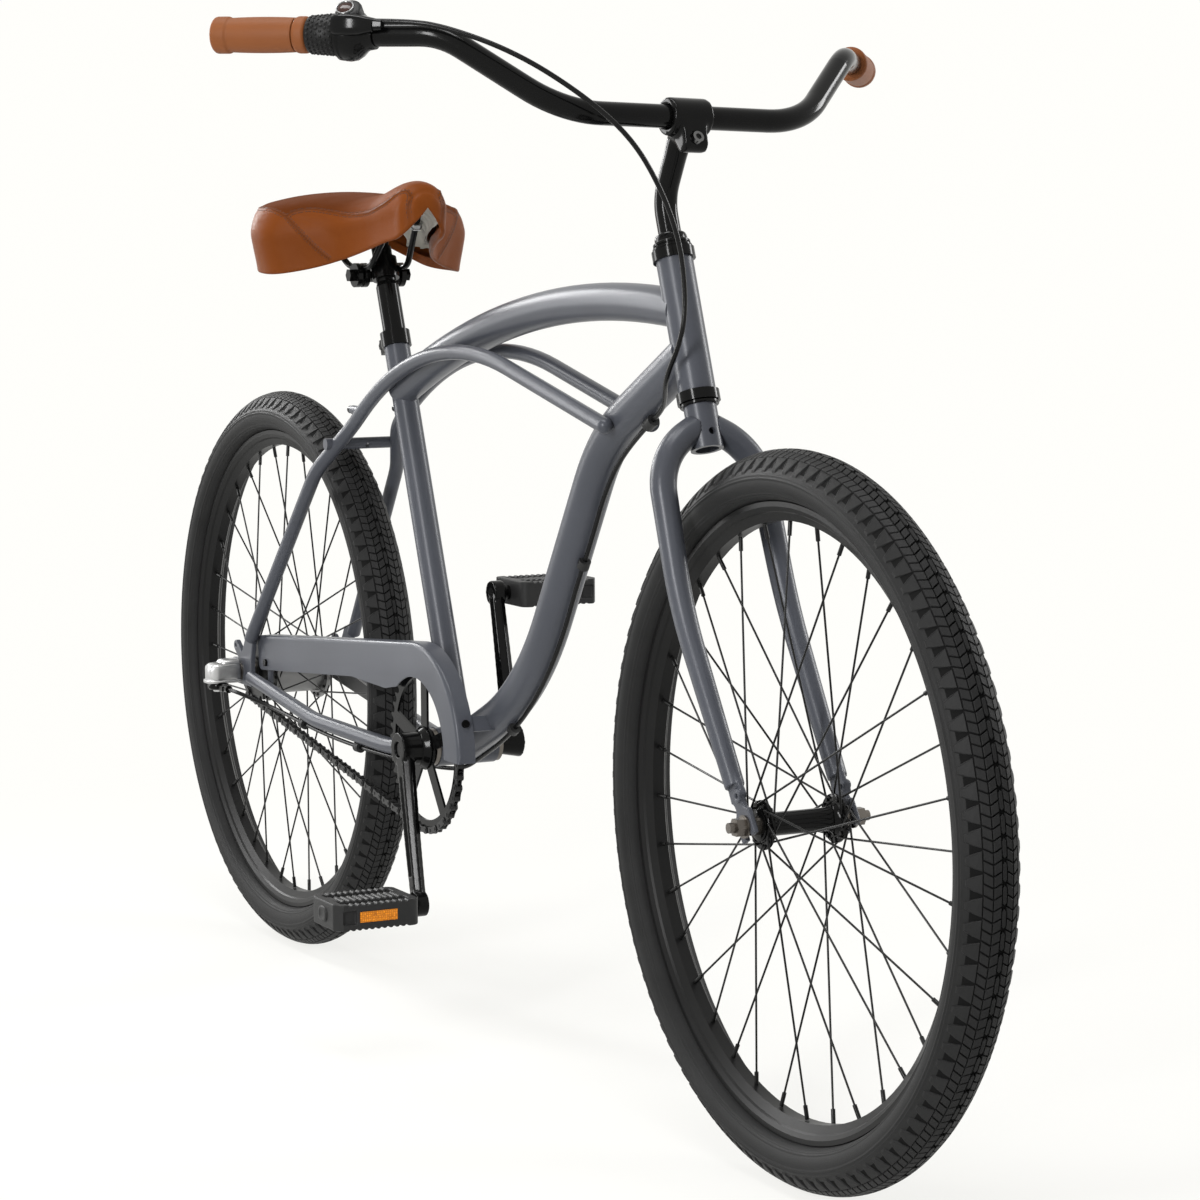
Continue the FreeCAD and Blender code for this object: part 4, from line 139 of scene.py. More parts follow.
def grid_faces(rows, columns, wrap_rows, wrap_columns):
    """Quads between rows of points, closed round where asked."""
    faces = []
    for row in range(rows if wrap_rows else rows - 1):
        for column in range(columns if wrap_columns else columns - 1):
            next_row = (row + 1) % rows
            next_column = (column + 1) % columns
            faces.append((row * columns + column, row * columns + next_column,
                          next_row * columns + next_column, next_row * columns + column))
    return faces


def arc_points(start, middle, end, count):
    """Points of the arc through three (x, y) places."""
    a, b, c = (complex(*place) for place in (start, middle, end))
    ratio = (c - a) / (b - a)
    centre = a + (b - a) * (ratio - abs(ratio) ** 2) / (2j * ratio.imag)
    turn = cmath.phase((b - centre) / (a - centre)) + cmath.phase((c - centre) / (b - centre))
    places = [centre + (a - centre) * cmath.exp(1j * turn * step / count) for step in range(count + 1)]
    return [(place.real, place.imag) for place in places]


def frame_along(axis):
    """Unit vectors along an axis, to its side and across both."""
    direction = Vector(axis).normalized()
    side = Z_AXIS.cross(direction)
    if side.length < MM:
        side = Vector((1, 0, 0))
    side.normalize()
    return direction, side, direction.cross(side)


def full_turn(segments):
    return [math.tau * step / segments for step in range(segments)]


def ring_loft(name, rings):
    """Skin over rings of points, closed at both ends."""
    segments = len(rings[0])
    last = (len(rings) - 1) * segments
    faces = grid_faces(len(rings), segments, False, True)
    faces.append(tuple(reversed(range(segments))))
    faces.append(tuple(range(last, last + segments)))
    return mesh_object(name, [point for ring in rings for point in ring], faces)


def turned_piece(name, profile, origin, axis, segments):
    """Lathe of (place along the axis, radius) pairs."""
    direction, side, up = frame_along(axis)
    spokes = [side * math.cos(turn) + up * math.sin(turn) for turn in full_turn(segments)]
    return ring_loft(name, [[origin + direction * place + spoke * radius for spoke in spokes]
                            for place, radius in profile])


def hull_piece(name, sections, origin, axis, segments, power):
    """Loft of rounded oblongs: (place along the axis, half size to the side, half size up)."""
    direction, side, up = frame_along(axis)

    def flattened(value):
        return math.copysign(abs(value) ** (2 / power), value)

    corners = [(flattened(math.cos(turn)), flattened(math.sin(turn))) for turn in full_turn(segments)]
    return ring_loft(name, [[origin + direction * place + side * (across * wide) + up * (rise * tall)
                             for across, rise in corners] for place, wide, tall in sections])


def box_piece(name, centre, size, turn=0.0):
    """Plain box for a cut, turned about the upright axis."""
    spin = Matrix.Rotation(turn, 3, "Z")
    half = Vector(size) / 2
    corners = [centre + spin @ Vector((x * half.x, y * half.y, z * half.z))
               for x in SIDES for y in SIDES for z in SIDES]
    faces = [(0, 1, 3, 2), (4, 6, 7, 5), (0, 4, 5, 1), (2, 3, 7, 6), (0, 2, 6, 4), (1, 5, 7, 3)]
    return mesh_object(name, corners, faces, smooth=False)


def joined(name, pieces):
    """One object from several, for pieces of one kind."""
    mesh = bpy.data.meshes.new(name)
    with edited(mesh) as work:
        for piece in pieces:
            work.from_mesh(piece.data)
    for piece in pieces:
        bpy.data.objects.remove(piece)
    return add_object(name, mesh)


def rounded_corners(profile, size):
    """Profile with each inner corner cut by a small curve."""
    rounded = [profile[0]]
    for before, corner, after in zip(profile, profile[1:], profile[2:]):
        here = Vector(corner)
        back = Vector(before) - here
        ahead = Vector(after) - here
        reach = min(size, corner_limit * back.length, corner_limit * ahead.length)
        start = here + back.normalized() * reach
        end = here + ahead.normalized() * reach
        for step in range(corner_steps + 1):
            share = step / corner_steps
            rounded.append(tuple(start.lerp(here, share).lerp(here.lerp(end, share), share)))
    rounded.append(profile[-1])
    return rounded


def solid_copy(name, node):
    """A copy of a node's solid with its doubled points welded."""
    piece = add_object(name, nodes[node].data.copy())
    with edited(piece.data) as work:
        bmesh.ops.remove_doubles(work, verts=work.verts, dist=weld_reach)
    return piece


def rounded_copy(name, node, voxel, passes, cutters=()):
    """Cast look: a copy of a node's solid with its edges eased, after any cuts."""
    piece = solid_copy(name, node)
    for cutter in cutters:
        cut = piece.modifiers.new("cut", "BOOLEAN")
        cut.operation = "DIFFERENCE"
        cut.object = cutter
    remesh = piece.modifiers.new("round", "REMESH")
    remesh.mode = "VOXEL"
    remesh.voxel_size = voxel
    remesh.use_smooth_shade = True
    ease = piece.modifiers.new("ease", "SMOOTH")
    ease.factor = ease_factor
    ease.iterations = passes
    mesh = evaluated_mesh(piece)
    piece.modifiers.clear()
    piece.data = mesh
    for cutter in cutters:
        bpy.data.objects.remove(cutter)
    return piece


def outward_normals(piece):
    with edited(piece.data) as work:
        bmesh.ops.recalc_face_normals(work, faces=work.faces)


def shade_by_angle(piece):
    """The piece with smooth shading, and hard edges where its faces meet at a sharp angle."""
    with edited(piece.data) as work:
        for face in work.faces:
            face.smooth = True
        for edge in work.edges:
            edge.smooth = edge.calc_face_angle(0.0) < hard_edge_angle
    return piece


def dress(piece, finish, slot, body, *replaced):
    """Gives a piece its finish and body, and hides the nodes that it stands in for; its slot is not used."""
    paint(piece, finish)
    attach(piece, body)
    if replaced:
        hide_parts(*replaced)


# Shader helpers: an input takes a plain value, or another node's output
def feed(tree, socket, value):
    if isinstance(value, bpy.types.NodeSocket):
        tree.links.new(value, socket)
    else:
        socket.default_value = value


def add_node(tree, kind, **settings):
    made = tree.nodes.new("ShaderNode" + kind)
    for key, value in settings.items():
        socket = key.replace("_", " ")
        if socket in made.inputs:
            feed(tree, made.inputs[socket], value)
        else:
            setattr(made, key, value)
    return made


def in_order(tree, kind, *values, **settings):
    """First output of a node whose inputs are filled in their order."""
    made = add_node(tree, kind, **settings)
    for socket, value in zip(made.inputs, values):
        feed(tree, socket, value)
    return made.outputs[0]


def texture(tree, kind, **settings):
    """Pattern fixed to the object's own coordinates."""
    place = add_node(tree, "TexCoord").outputs["Object"]
    return add_node(tree, "Tex" + kind, Vector=place, **settings).outputs[0]


def mixed_colour(tree, share, first, second):
    made = add_node(tree, "Mix", data_type="RGBA")
    for index, value in ((0, share), (6, first), (7, second)):
        feed(tree, made.inputs[index], value)
    return made.outputs[2]


def ranged(tree, value, low, high):
    return add_node(tree, "MapRange", Value=value, To_Min=low, To_Max=high).outputs["Result"]


def bumped(tree, height, strength):
    return add_node(tree, "Bump", Strength=strength, Distance=MM, Height=height).outputs["Normal"]


def new_material(name):
    made = bpy.data.materials.new(name)
    made.use_nodes = True
    return made, made.node_tree


def set_shader(tree, **settings):
    shader = tree.nodes["Principled BSDF"]
    for key, value in settings.items():
        feed(tree, shader.inputs[key.replace("_", " ")], value)


def colour(red, green, blue):
    return (red, green, blue, 1.0)


def grey(value):
    return colour(value, value, value)


# Materials
def finish_material(name, dark, light, rough_low, rough_high, scale, bump, bump_scale, metallic, specular):
    """Metal, plastic or rubber: colour and roughness drift with one noise, bump follows a finer one."""
    made, tree = new_material(name)
    drift = texture(tree, "Noise", Scale=scale, Detail=4.0)
    fine = texture(tree, "Noise", Scale=bump_scale)
    set_shader(tree, Base_Color=mixed_colour(tree, drift, dark, light),
               Roughness=ranged(tree, drift, rough_low, rough_high), Normal=bumped(tree, fine, bump),
               Metallic=metallic, Specular_IOR_Level=specular)
    return made


def leather_material():
    """Grained skin: painted shade along the seam grooves, and painted shade with duller gloss on the panel inside
    the top seam.
    """
    made, tree = new_material("saddle_leatherette")
    seam = add_node(tree, "Attribute", attribute_name="seam").outputs["Fac"]
    top_shade_share = add_node(tree, "Attribute", attribute_name="top_panel").outputs["Fac"]
    drift = texture(tree, "Noise", Scale=9.0, Detail=3.0)
    tint = mixed_colour(tree, drift, colour(0.128, 0.032, 0.005), colour(0.172, 0.045, 0.008))
    # Painted shade: the panel inside the top seam is darker, as if less light fell on the top
    top_shaded_tint = mixed_colour(tree, top_shade_share, tint, colour(0.090, 0.0225, 0.0038))
    # Painted shade: darker along the seam grooves
    seam_shaded_tint = mixed_colour(tree, seam, top_shaded_tint, colour(0.062, 0.017, 0.004))
    pores = texture(tree, "Voronoi", Scale=900.0, feature="DISTANCE_TO_EDGE")
    creases = texture(tree, "Noise", Scale=160.0, Detail=5.0)
    grain = in_order(tree, "Math", pores, creases, operation="ADD")
    rough = ranged(tree, creases, 0.34, 0.46)
    dull = in_order(tree, "Math", top_shade_share, 0.40, rough, operation="MULTIPLY_ADD")
    set_shader(tree, Base_Color=seam_shaded_tint, Roughness=dull, Normal=bumped(tree, grain, 0.16),
               Specular_IOR_Level=0.06)
    return made


def frame_paint_material():
    """Satin metallic paint: small flakes change the colour, and a soft clear coat lies on top."""
    made, tree = new_material("frame_paint")
    flakes = texture(tree, "Voronoi", Scale=2600.0)
    drift = texture(tree, "Noise", Scale=7.0, Detail=3.0)
    spread = in_order(tree, "Math", flakes, drift, operation="MULTIPLY")
    tint = mixed_colour(tree, spread, colour(0.046, 0.049, 0.058), colour(0.100, 0.106, 0.125))
    orange_peel = texture(tree, "Noise", Scale=420.0)
    set_shader(tree, Base_Color=tint, Roughness=ranged(tree, drift, 0.27, 0.36),
               Normal=bumped(tree, orange_peel, 0.03), Metallic=0.05, Specular_IOR_Level=0.17,
               Coat_Weight=0.05, Coat_Roughness=0.30)
    return made


def reflector_material():
    """Amber lens with a fine honeycomb of prisms, and a faint painted glow."""
    made, tree = new_material("amber_lens")
    cells = texture(tree, "Voronoi", Scale=430.0, feature="DISTANCE_TO_EDGE", Randomness=0.15)
    ramp = add_node(tree, "ValToRGB", Fac=cells)
    edge, middle = ramp.color_ramp.elements
    edge.position = 0.02
    edge.color = colour(0.30, 0.085, 0.004)
    middle.position = 0.22
    middle.color = colour(0.86, 0.29, 0.012)
    amber = ramp.outputs["Color"]
    # A faint emission paints a glow on the lens, which is no lamp
    set_shader(tree, Base_Color=amber, Emission_Color=amber, Emission_Strength=0.12, Roughness=0.22,
               Specular_IOR_Level=0.3, Normal=bumped(tree, cells, 0.5))
    return made


def window_material():
    made, tree = new_material("shifter_window")
    drift = texture(tree, "Noise", Scale=120.0)
    tint = mixed_colour(tree, drift, colour(0.020, 0.012, 0.010), colour(0.060, 0.030, 0.024))
    set_shader(tree, Base_Color=tint, Roughness=0.08, Specular_IOR_Level=0.12)
    return made


# Each finish: dark and light colour, lowest and highest roughness, scale of the drift, bump and its scale,
# metallic, specular level
FINISHES = {
    "black_gloss": (grey(0.002), grey(0.004), 0.10, 0.17, 12.0, 0.02, 500.0, 0.0, 0.12),
    "black_alloy": (grey(0.003), grey(0.006), 0.18, 0.27, 20.0, 0.03, 700.0, 0.0, 0.13),
    "rim_black": (grey(0.005), grey(0.009), 0.32, 0.42, 16.0, 0.04, 900.0, 0.0, 0.13),
    "steel": (colour(0.10, 0.090, 0.079), colour(0.18, 0.164, 0.148), 0.26, 0.42, 60.0, 0.05, 900.0,
              1.0, 0.5),
    "bright_steel": (grey(0.42), grey(0.55), 0.22, 0.36, 60.0, 0.03, 900.0, 1.0, 0.5),
    "ring_steel": (grey(0.10), grey(0.16), 0.20, 0.32, 60.0, 0.03, 900.0, 1.0, 0.5),
    "hub_alloy": (grey(0.16), grey(0.24), 0.32, 0.44, 30.0, 0.04, 800.0, 0.9, 0.5),
    "spoke_steel": (grey(0.004), grey(0.008), 0.26, 0.36, 30.0, 0.03, 900.0, 0.0, 0.18),
    "chain_steel": (grey(0.010), grey(0.034), 0.26, 0.42, 60.0, 0.05, 900.0, 0.5, 0.2),
    "polished_cover": (grey(0.40), grey(0.50), 0.26, 0.36, 30.0, 0.02, 600.0, 0.9, 0.5),
    "grey_steel": (grey(0.08), grey(0.13), 0.36, 0.50, 40.0, 0.04, 800.0, 0.7, 0.5),
    "black_plastic": (grey(0.015), grey(0.024), 0.40, 0.52, 30.0, 0.18, 1600.0, 0.0, 0.16),
    "gloss_plastic": (grey(0.002), grey(0.004), 0.10, 0.18, 30.0, 0.03, 900.0, 0.0, 0.14),
    "soft_black": (grey(0.004), grey(0.008), 0.38, 0.50, 40.0, 0.15, 1500.0, 0.0, 0.18),
    "cable_skin": (grey(0.003), grey(0.006), 0.22, 0.32, 60.0, 0.04, 1200.0, 0.0, 0.16),
    "tyre_rubber": (grey(0.014), grey(0.024), 0.40, 0.54, 26.0, 0.22, 1300.0, 0.0, 0.07),
    # Painted shade: darker rubber for the carcass between the tread blocks
    "tread_groove": (grey(0.004), grey(0.007), 0.60, 0.75, 26.0, 0.22, 1300.0, 0.0, 0.05),
    "tan_rubber": (colour(0.164, 0.050, 0.0130), colour(0.203, 0.066, 0.0185), 0.50, 0.62, 22.0, 0.10, 1400.0,
                   0.0, 0.2),
    "stitch_thread": (colour(0.040, 0.012, 0.004), colour(0.075, 0.024, 0.008), 0.5, 0.7, 300.0, 0.3, 2500.0,
                      0.0, 0.3),
    "saddle_shell": (colour(0.36, 0.35, 0.31), colour(0.48, 0.46, 0.42), 0.42, 0.58, 24.0, 0.08, 700.0,
                     0.0, 0.3),
}
materials = {name: finish_material(name, *finish) for name, finish in FINISHES.items()}
materials["frame_paint"] = frame_paint_material()
materials["saddle_skin"] = leather_material()
materials["amber_lens"] = reflector_material()
materials["window"] = window_material()


def paint(piece, name):
    piece.data.materials.clear()
    piece.data.materials.append(materials[name])


# Nodes with a finish other than the one their material slot names
NODE_FINISHES = {
    "black_gloss": ("headset_cups", "seat_clamp", "handlebar", "seatpost", "chainring", "frame_bolts"),
    "hub_alloy": ("rear_hub",),
    "rim_black": ("front_rim", "rear_rim"),
    "chain_steel": ("chain", "rear_sprocket"),
    "black_alloy": ("crank_spindle", "pedal_spindles"),
    "grey_steel": ("brake_arm",),
    "gloss_plastic": ("saddle_clamp", "saddle_frame", "bell_crank"),
    "ring_steel": ("stem_bolt",),
}


def paint_frame_nodes():
    special = {node: finish for finish, members in NODE_FINISHES.items() for node in members}
    for row in frame["record"]["subparts"]:
        paint(nodes[row["node"]], special.get(row["node"], row["material_slot"]))


# Tyres: a smooth carcass with raised sidewall lines, and rows of separate tread blocks
tyre_radius = front_axle.z
tread_height = 2.5 * MM
tread_repeats = 108
carcass_segments = 240
crown_steps = 20
wall_steps = 40
bead_radius = 281.0 * MM
bead_half = 12.8 * MM
neck_radius = 287.8 * MM
wide_radius = 303.0 * MM
wide_half = 28.4 * MM
shoulder_radius = 319.5 * MM
shoulder_half = 23.5 * MM
groove_radius = shoulder_radius - tread_height
crown_square = 0.94
crown_fourth = 0.06
sidewall_lines = (0.16, 0.24, 0.62, 0.70)
sidewall_line_half = 0.018
sidewall_line_height = 0.8 * MM
# Each block: corners as (share of the tread pitch, share of the tread's half width), for the left half
shoulder_tooth = ((0.06, 0.72), (0.94, 0.72), (0.84, 0.92), (0.66, 1.12), (0.34, 1.12), (0.16, 0.92))
outer_lugs = (((0.20, 0.42), (0.62, 0.42), (0.43, 0.68), (0.01, 0.68)),
              ((0.70, 0.42), (1.12, 0.42), (0.93, 0.68), (0.51, 0.68)))
inner_lugs = (((0.01, 0.12), (0.43, 0.12), (0.62, 0.38), (0.20, 0.38)),
              ((0.51, 0.12), (0.93, 0.12), (1.12, 0.38), (0.70, 0.38)))
centre_dash = ((0.06, 0.0), (0.16, -0.075), (0.80, -0.075), (0.90, 0.0), (0.80, 0.075), (0.16, 0.075))
# Each level of a block: share of its size, and depth below the tread's top
block_levels = ((1.0, tread_height * 1.2), (0.98, 0.25 * MM), (0.90, 0.0))


def half_tyre_profile():
    """(side, radius) points from the crown down the left wall to the bead."""
    top = (0, tyre_radius - tread_height)
    shoulder = (shoulder_half, groove_radius)
    crown = arc_points((-shoulder_half, groove_radius), top, shoulder, crown_steps)
    wall = arc_points(shoulder, (wide_half, wide_radius), (bead_half, neck_radius), wall_steps)[1:]
    lined = []
    for step, (side, radius) in enumerate(wall):
        share = step / len(wall)
        near = min(abs(share - line) for line in sidewall_lines)
        lift = sidewall_line_height if near < sidewall_line_half else 0.0
        lined.append((side + lift, radius))
    return crown[crown_steps // 2:] + lined + [(bead_half, bead_radius)]


def tread_surface(side):
    """Radius of the tread's top at a distance from the middle plane."""
    share = side / shoulder_half
    fall = crown_square * share * share + crown_fourth * share ** 4
    return tyre_radius - (tyre_radius - shoulder_radius) * fall


def tyre_point(centre, angle, side, radius):
    return centre + Vector((radius * math.sin(angle), side, radius * math.cos(angle)))


def carcass(name, centre):
    half = half_tyre_profile()
    profile = [(-side, radius) for side, radius in reversed(half[1:])] + half
    points = [tyre_point(centre, angle, side, radius)
              for angle in full_turn(carcass_segments) for side, radius in profile]
    return mesh_object(name, points, grid_faces(carcass_segments, len(profile), True, True))


def tread_block(points, faces, centre, corners, start, mirror):
    """One block: a slightly smaller top over a foot that stands on the carcass."""
    pitch = math.tau / tread_repeats
    count = len(corners)
    first = len(points)
    middle_share = sum(along for along, across in corners) / count
    middle_side = sum(across for along, across in corners) / count
    for shrink, sink in block_levels:
        for along, across in corners:
            share = middle_share + (along - middle_share) * shrink
            side = (middle_side + (across - middle_side) * shrink) * shoulder_half * mirror
            angle = (start + share) * pitch
            points.append(tyre_point(centre, angle, side, tread_surface(side) - sink))
    block = []
    for ring in range(len(block_levels) - 1):
        low = first + ring * count
        for corner in range(count):
            ahead = (corner + 1) % count
            block.append((low + corner, low + ahead, low + count + ahead, low + count + corner))
    top = len(points) - count
    block.append(tuple(range(top, top + count)))
    faces += [face if mirror > 0 else tuple(reversed(face)) for face in block]


def tread(name, centre):
    points = []
    faces = []
    for repeat in range(tread_repeats):
        tread_block(points, faces, centre, centre_dash, repeat, 1)
        for mirror in SIDES:
            start = repeat if mirror > 0 else repeat + 0.5
            for corners in (*inner_lugs, *outer_lugs, shoulder_tooth):
                tread_block(points, faces, centre, corners, start, mirror)
    return mesh_object(name, points, faces, smooth=False)


def make_tyre(body, node, centre):
    wall = carcass(body + "_tyre_carcass", centre)
    blocks = tread(body + "_tyre_tread", centre)
    for piece in (wall, blocks):
        outward_normals(piece)
        dress(piece, "tyre_rubber", "tyre_rubber", body, node)
    # The carcass between the tread blocks gets the darker rubber, painted shade in the grooves
    wall.data.materials.append(materials["tread_groove"])
    for face in wall.data.polygons:
        reach = face.center - centre
        face.material_index = int(math.hypot(reach.x, reach.z) > groove_radius)


# Grips and the twist sleeve, turned about the bar's straight ends
grip_cap = 6.0 * MM
collar_length = 17.0 * MM
collar_radius = 17.2 * MM
collar_foot = 0.4 * MM
barrel_radius = 16.7 * MM
barrel_end_radius = 15.9 * MM
barrel_steps = 14
barrel_swell = 0.8
grip_groove = 1.2 * MM
grip_groove_wall = 0.2 * MM
grip_groove_depth = 2.0 * MM
ring_length = 12.5 * MM
ring_radius = 17.1 * MM
ring_foot = 1.0 * MM
grip_edge = 2.4 * MM
grip_rounding = 1.6 * MM
grip_axis_radius = 0.02 * MM
left_grip_length = 134.0 * MM
right_grip_length = 96.0 * MM
right_bar_end = shifter_point + shifter_axis * grip_cap
sleeve_gap = 0.3 * MM
sleeve_length = 30.0 * MM
sleeve_end_radius = 16.9 * MM
sleeve_foot_radius = 19.2 * MM
# Steps of the sleeve: place and radius in mm
sleeve_steps = ((0.0, 11.2), (0.0, 16.1), (0.8, 16.9), (28.8, 19.2), (29.5, 18.2), (29.5, 11.2))
sleeve_bump_rows = 6
sleeve_first_row = 0.7
sleeve_row_room = 0.4
sleeve_bumps_round = 22
sleeve_bump_radius = 1.7 * MM
sleeve_bump_sink = 0.3 * MM
# Each step of a bump: height in mm, share of its radius
sleeve_bump_dome = ((0.0, 1.0), (0.7, 0.92), (1.2, 0.6), (1.4, 0.2))


def grip_profile(length):
    start = collar_length + collar_foot
    end = length - ring_length - grip_groove
    low = barrel_end_radius - grip_groove_depth
    profile = [(0.0, 0.0), (0.0, collar_radius - grip_edge), (grip_edge, collar_radius),
               (collar_length - grip_edge, collar_radius), (collar_length, barrel_end_radius)]
    for step in range(1, barrel_steps):
        share = step / barrel_steps
        swell = math.sin(math.pi * share) ** barrel_swell
        radius = barrel_end_radius + (barrel_radius - barrel_end_radius) * swell
        profile.append((start + (end - start) * share, radius))
    profile += [(end, barrel_end_radius), (end + grip_groove_wall, low),
                (end + grip_groove - grip_groove_wall, low), (end + grip_groove, ring_radius - ring_foot),
                (length - ring_length + grip_edge, ring_radius), (length - grip_edge, ring_radius),
                (length, ring_radius - grip_edge), (length, 0.0)]
    return rounded_corners(profile, grip_rounding)


def make_grip(name, node, end_point, inward, length):
    profile = [(place, max(radius, grip_axis_radius)) for place, radius in grip_profile(length)]
    grip = turned_piece(name, profile, end_point, inward, wide_round)
    dress(grip, "tan_rubber", "tan_rubber", "steering", node)


def mirrored_in_stem(vector):
    """A direction mirrored across the stem's own middle plane."""
    return vector - stem_side * (2 * vector.dot(stem_side))


def make_grips():
    make_grip("right_grip_rubber", "right_grip", right_bar_end, -shifter_axis, right_grip_length)
    left_end = steer_point + mirrored_in_stem(shifter_point - steer_point)
    outward = mirrored_in_stem(shifter_axis)
    make_grip("left_grip_rubber", "left_grip", left_end + outward * grip_cap, -outward, left_grip_length)


def make_sleeve():
    start = right_bar_end - shifter_axis * (right_grip_length + sleeve_gap)
    pieces = [turned_piece("sleeve_body", in_metres(sleeve_steps), start, -shifter_axis, wide_round)]
    dome = [(height * MM, sleeve_bump_radius * size) for height, size in sleeve_bump_dome]
    direction, side, up = frame_along(-shifter_axis)
    for row in range(sleeve_bump_rows):
        share = (row + sleeve_first_row) / (sleeve_bump_rows + sleeve_row_room)
        radius = sleeve_end_radius + (sleeve_foot_radius - sleeve_end_radius) * share
        for step in range(sleeve_bumps_round):
            angle = math.tau * (step + 0.5 * (row % 2)) / sleeve_bumps_round
            spoke = side * math.cos(angle) + up * math.sin(angle)
            foot = start + direction * (share * sleeve_length) + spoke * (radius - sleeve_bump_sink)
            pieces.append(turned_piece("sleeve_bump", dome, foot, spoke, bump_round))
    sleeve = joined("shifter_sleeve_rubber", pieces)
    dress(sleeve, "soft_black", "soft_black", "shifter_sleeve", "shifter_sleeve")


# Twist shifter's housing: collar round the bar, pod that tapers to the cable's nozzle, and a round window
# Turned steps are (place, radius) and hull sections (place, half width, half height), all in mm
housing_gap = 0.5 * MM
housing_start = right_grip_length + sleeve_length + housing_gap
collar_steps = ((0.0, 11.3), (0.0, 21.8), (1.2, 23.4), (4.0, 23.8), (5.2, 23.0), (5.8, 23.0), (6.6, 24.2),
                (11.0, 24.6), (17.0, 23.6), (22.0, 20.6), (26.0, 16.6), (29.0, 14.6), (35.5, 13.6),
                (36.0, 12.6), (36.0, 11.3))
pod_sections = ((-9.0, 4.0, 3.6), (-9.0, 8.4, 7.4), (-8.0, 10.4, 9.0), (-4.0, 12.0, 10.4), (8.0, 12.2, 10.6),
                (18.0, 11.0, 9.4), (26.0, 8.6, 7.4), (31.0, 6.8, 6.2), (31.6, 5.4, 5.4), (39.0, 4.6, 4.6),
                (39.6, 3.8, 3.8), (39.6, 2.6, 2.6))
pod_power = 3.4
# Places along the bar from the housing's start, behind it and above it
pod_place = Vector((9.5, -16.0, 8.0)) * MM
window_place = Vector((11.4, -15.6, 23.4)) * MM
window_tilt = math.radians(44.0)
boss_along = 2.6 * MM
boss_steps = ((-15.0, 8.0), (-13.0, 12.9), (-3.0, 12.9), (-1.2, 12.2), (-0.2, 10.6), (0.2, 9.4), (0.2, 0.3))
ring_steps = ((0.0, 6.8), (0.8, 7.0), (1.5, 7.5), (1.8, 8.1), (1.5, 8.8), (0.5, 9.2), (0.0, 9.2))
lens_steps = ((0.3, 7.3), (0.9, 7.0), (1.3, 5.4), (1.6, 2.9), (1.7, 0.3))


def make_shifter_housing():
    direction, side, up = frame_along(-shifter_axis)
    axes = Matrix((direction, side, up)).transposed()
    start = right_bar_end - shifter_axis * housing_start
    foot = start + axes @ pod_place
    window = start + axes @ window_place
    facing = up * math.cos(window_tilt) - side * math.sin(window_tilt)
    shell = joined("shifter_housing_shell", [
        turned_piece("collar", in_metres(collar_steps), start, direction, full_round),
        hull_piece("pod", in_metres(pod_sections), foot, direction, full_round, pod_power),
    ])
    dress(shade_by_angle(shell), "gloss_plastic", "black_plastic", "steering", "shifter_housing")
    boss_foot = window + direction * boss_along
    boss = turned_piece("shifter_window_boss", in_metres(boss_steps), boss_foot, facing, small_round)
    dress(shade_by_angle(boss), "soft_black", "black_plastic", "steering")
    ring = turned_piece("shifter_window_ring", in_metres(ring_steps), window, facing, small_round)
    dress(ring, "ring_steel", "steel", "steering")
    lens = turned_piece("shifter_window_lens", in_metres(lens_steps), window, facing, small_round)
    dress(lens, "window", "black_plastic", "steering")


# Forged pieces with eased edges: piece, node, rounding grain in mm, passes, finish, slot, body
FORGINGS = (
    ("stem_forging", "stem", 1.3, 26, "black_gloss", "black_gloss", "steering"),
    ("right_crank_forging", "right_crank", 1.0, 5, "black_gloss", "black_alloy", "crank"),
    ("left_crank_forging", "left_crank", 1.0, 5, "black_gloss", "black_alloy", "crank"),
    ("rear_dropout_plates", "rear_dropouts", 0.9, 6, "frame_paint", "frame_paint", "frame"),
)
fork_end_down = Vector((0.555, 0, -0.832))
fork_bite_above = 20.0 * MM
fork_bite_side = 15.0 * MM
fork_bite_radius = 7.5 * MM
fork_bite_reach = 80.0 * MM
fork_grain = 1.0 * MM
fork_passes = 6


def make_forgings():
    for name, node, grain, passes, finish, slot, body in FORGINGS:
        dress(rounded_copy(name, node, grain * MM, passes), finish, slot, body, node)


def make_fork_blade(node):
    """Blade whose end plate is waisted between the eyelet and the axle."""
    across = Y_AXIS.cross(fork_end_down)
    bar = [(-fork_bite_reach, fork_bite_radius), (fork_bite_reach, fork_bite_radius)]
    cutters = []
    for way in SIDES:
        bite = front_axle - fork_end_down * fork_bite_above + across * (way * fork_bite_side)
        cutters.append(turned_piece("bite", bar, bite, Y_AXIS, pin_round))
    blade = rounded_copy(node + "_shell", node, fork_grain, fork_passes, cutters)
    dress(blade, "frame_paint", "frame_paint", "steering", node)


# Headset: stack of rings above the head tube, and the race below it
headset_rings = ((0.0, 12.9), (0.0, 18.0), (0.6, 18.9), (2.4, 18.9), (3.0, 18.2), (3.1, 16.9), (4.2, 16.9),
                 (4.4, 17.8), (6.6, 17.8), (7.2, 17.2), (7.4, 15.8), (12.0, 15.4), (14.2, 14.6), (15.0, 13.6),
                 (15.0, 12.9))
lower_race = ((-3.0, 12.9), (-3.0, 18.0), (-2.5, 18.5), (-0.5, 18.5), (0.0, 18.0), (0.0, 12.9))
upper_ring_foot = 557.3 * MM
lower_ring_head = 406.7 * MM


def make_headset():
    stacks = ((headset_rings, upper_ring_foot), (lower_race, lower_ring_head))
    rings = joined("headset_rings", [
        turned_piece("ring", in_metres(steps), steer_point + steer_up * height, steer_up, full_round)
        for steps, height in stacks
    ])
    dress(shade_by_angle(rings), "black_gloss", "black_alloy", "steering", "headset_top")


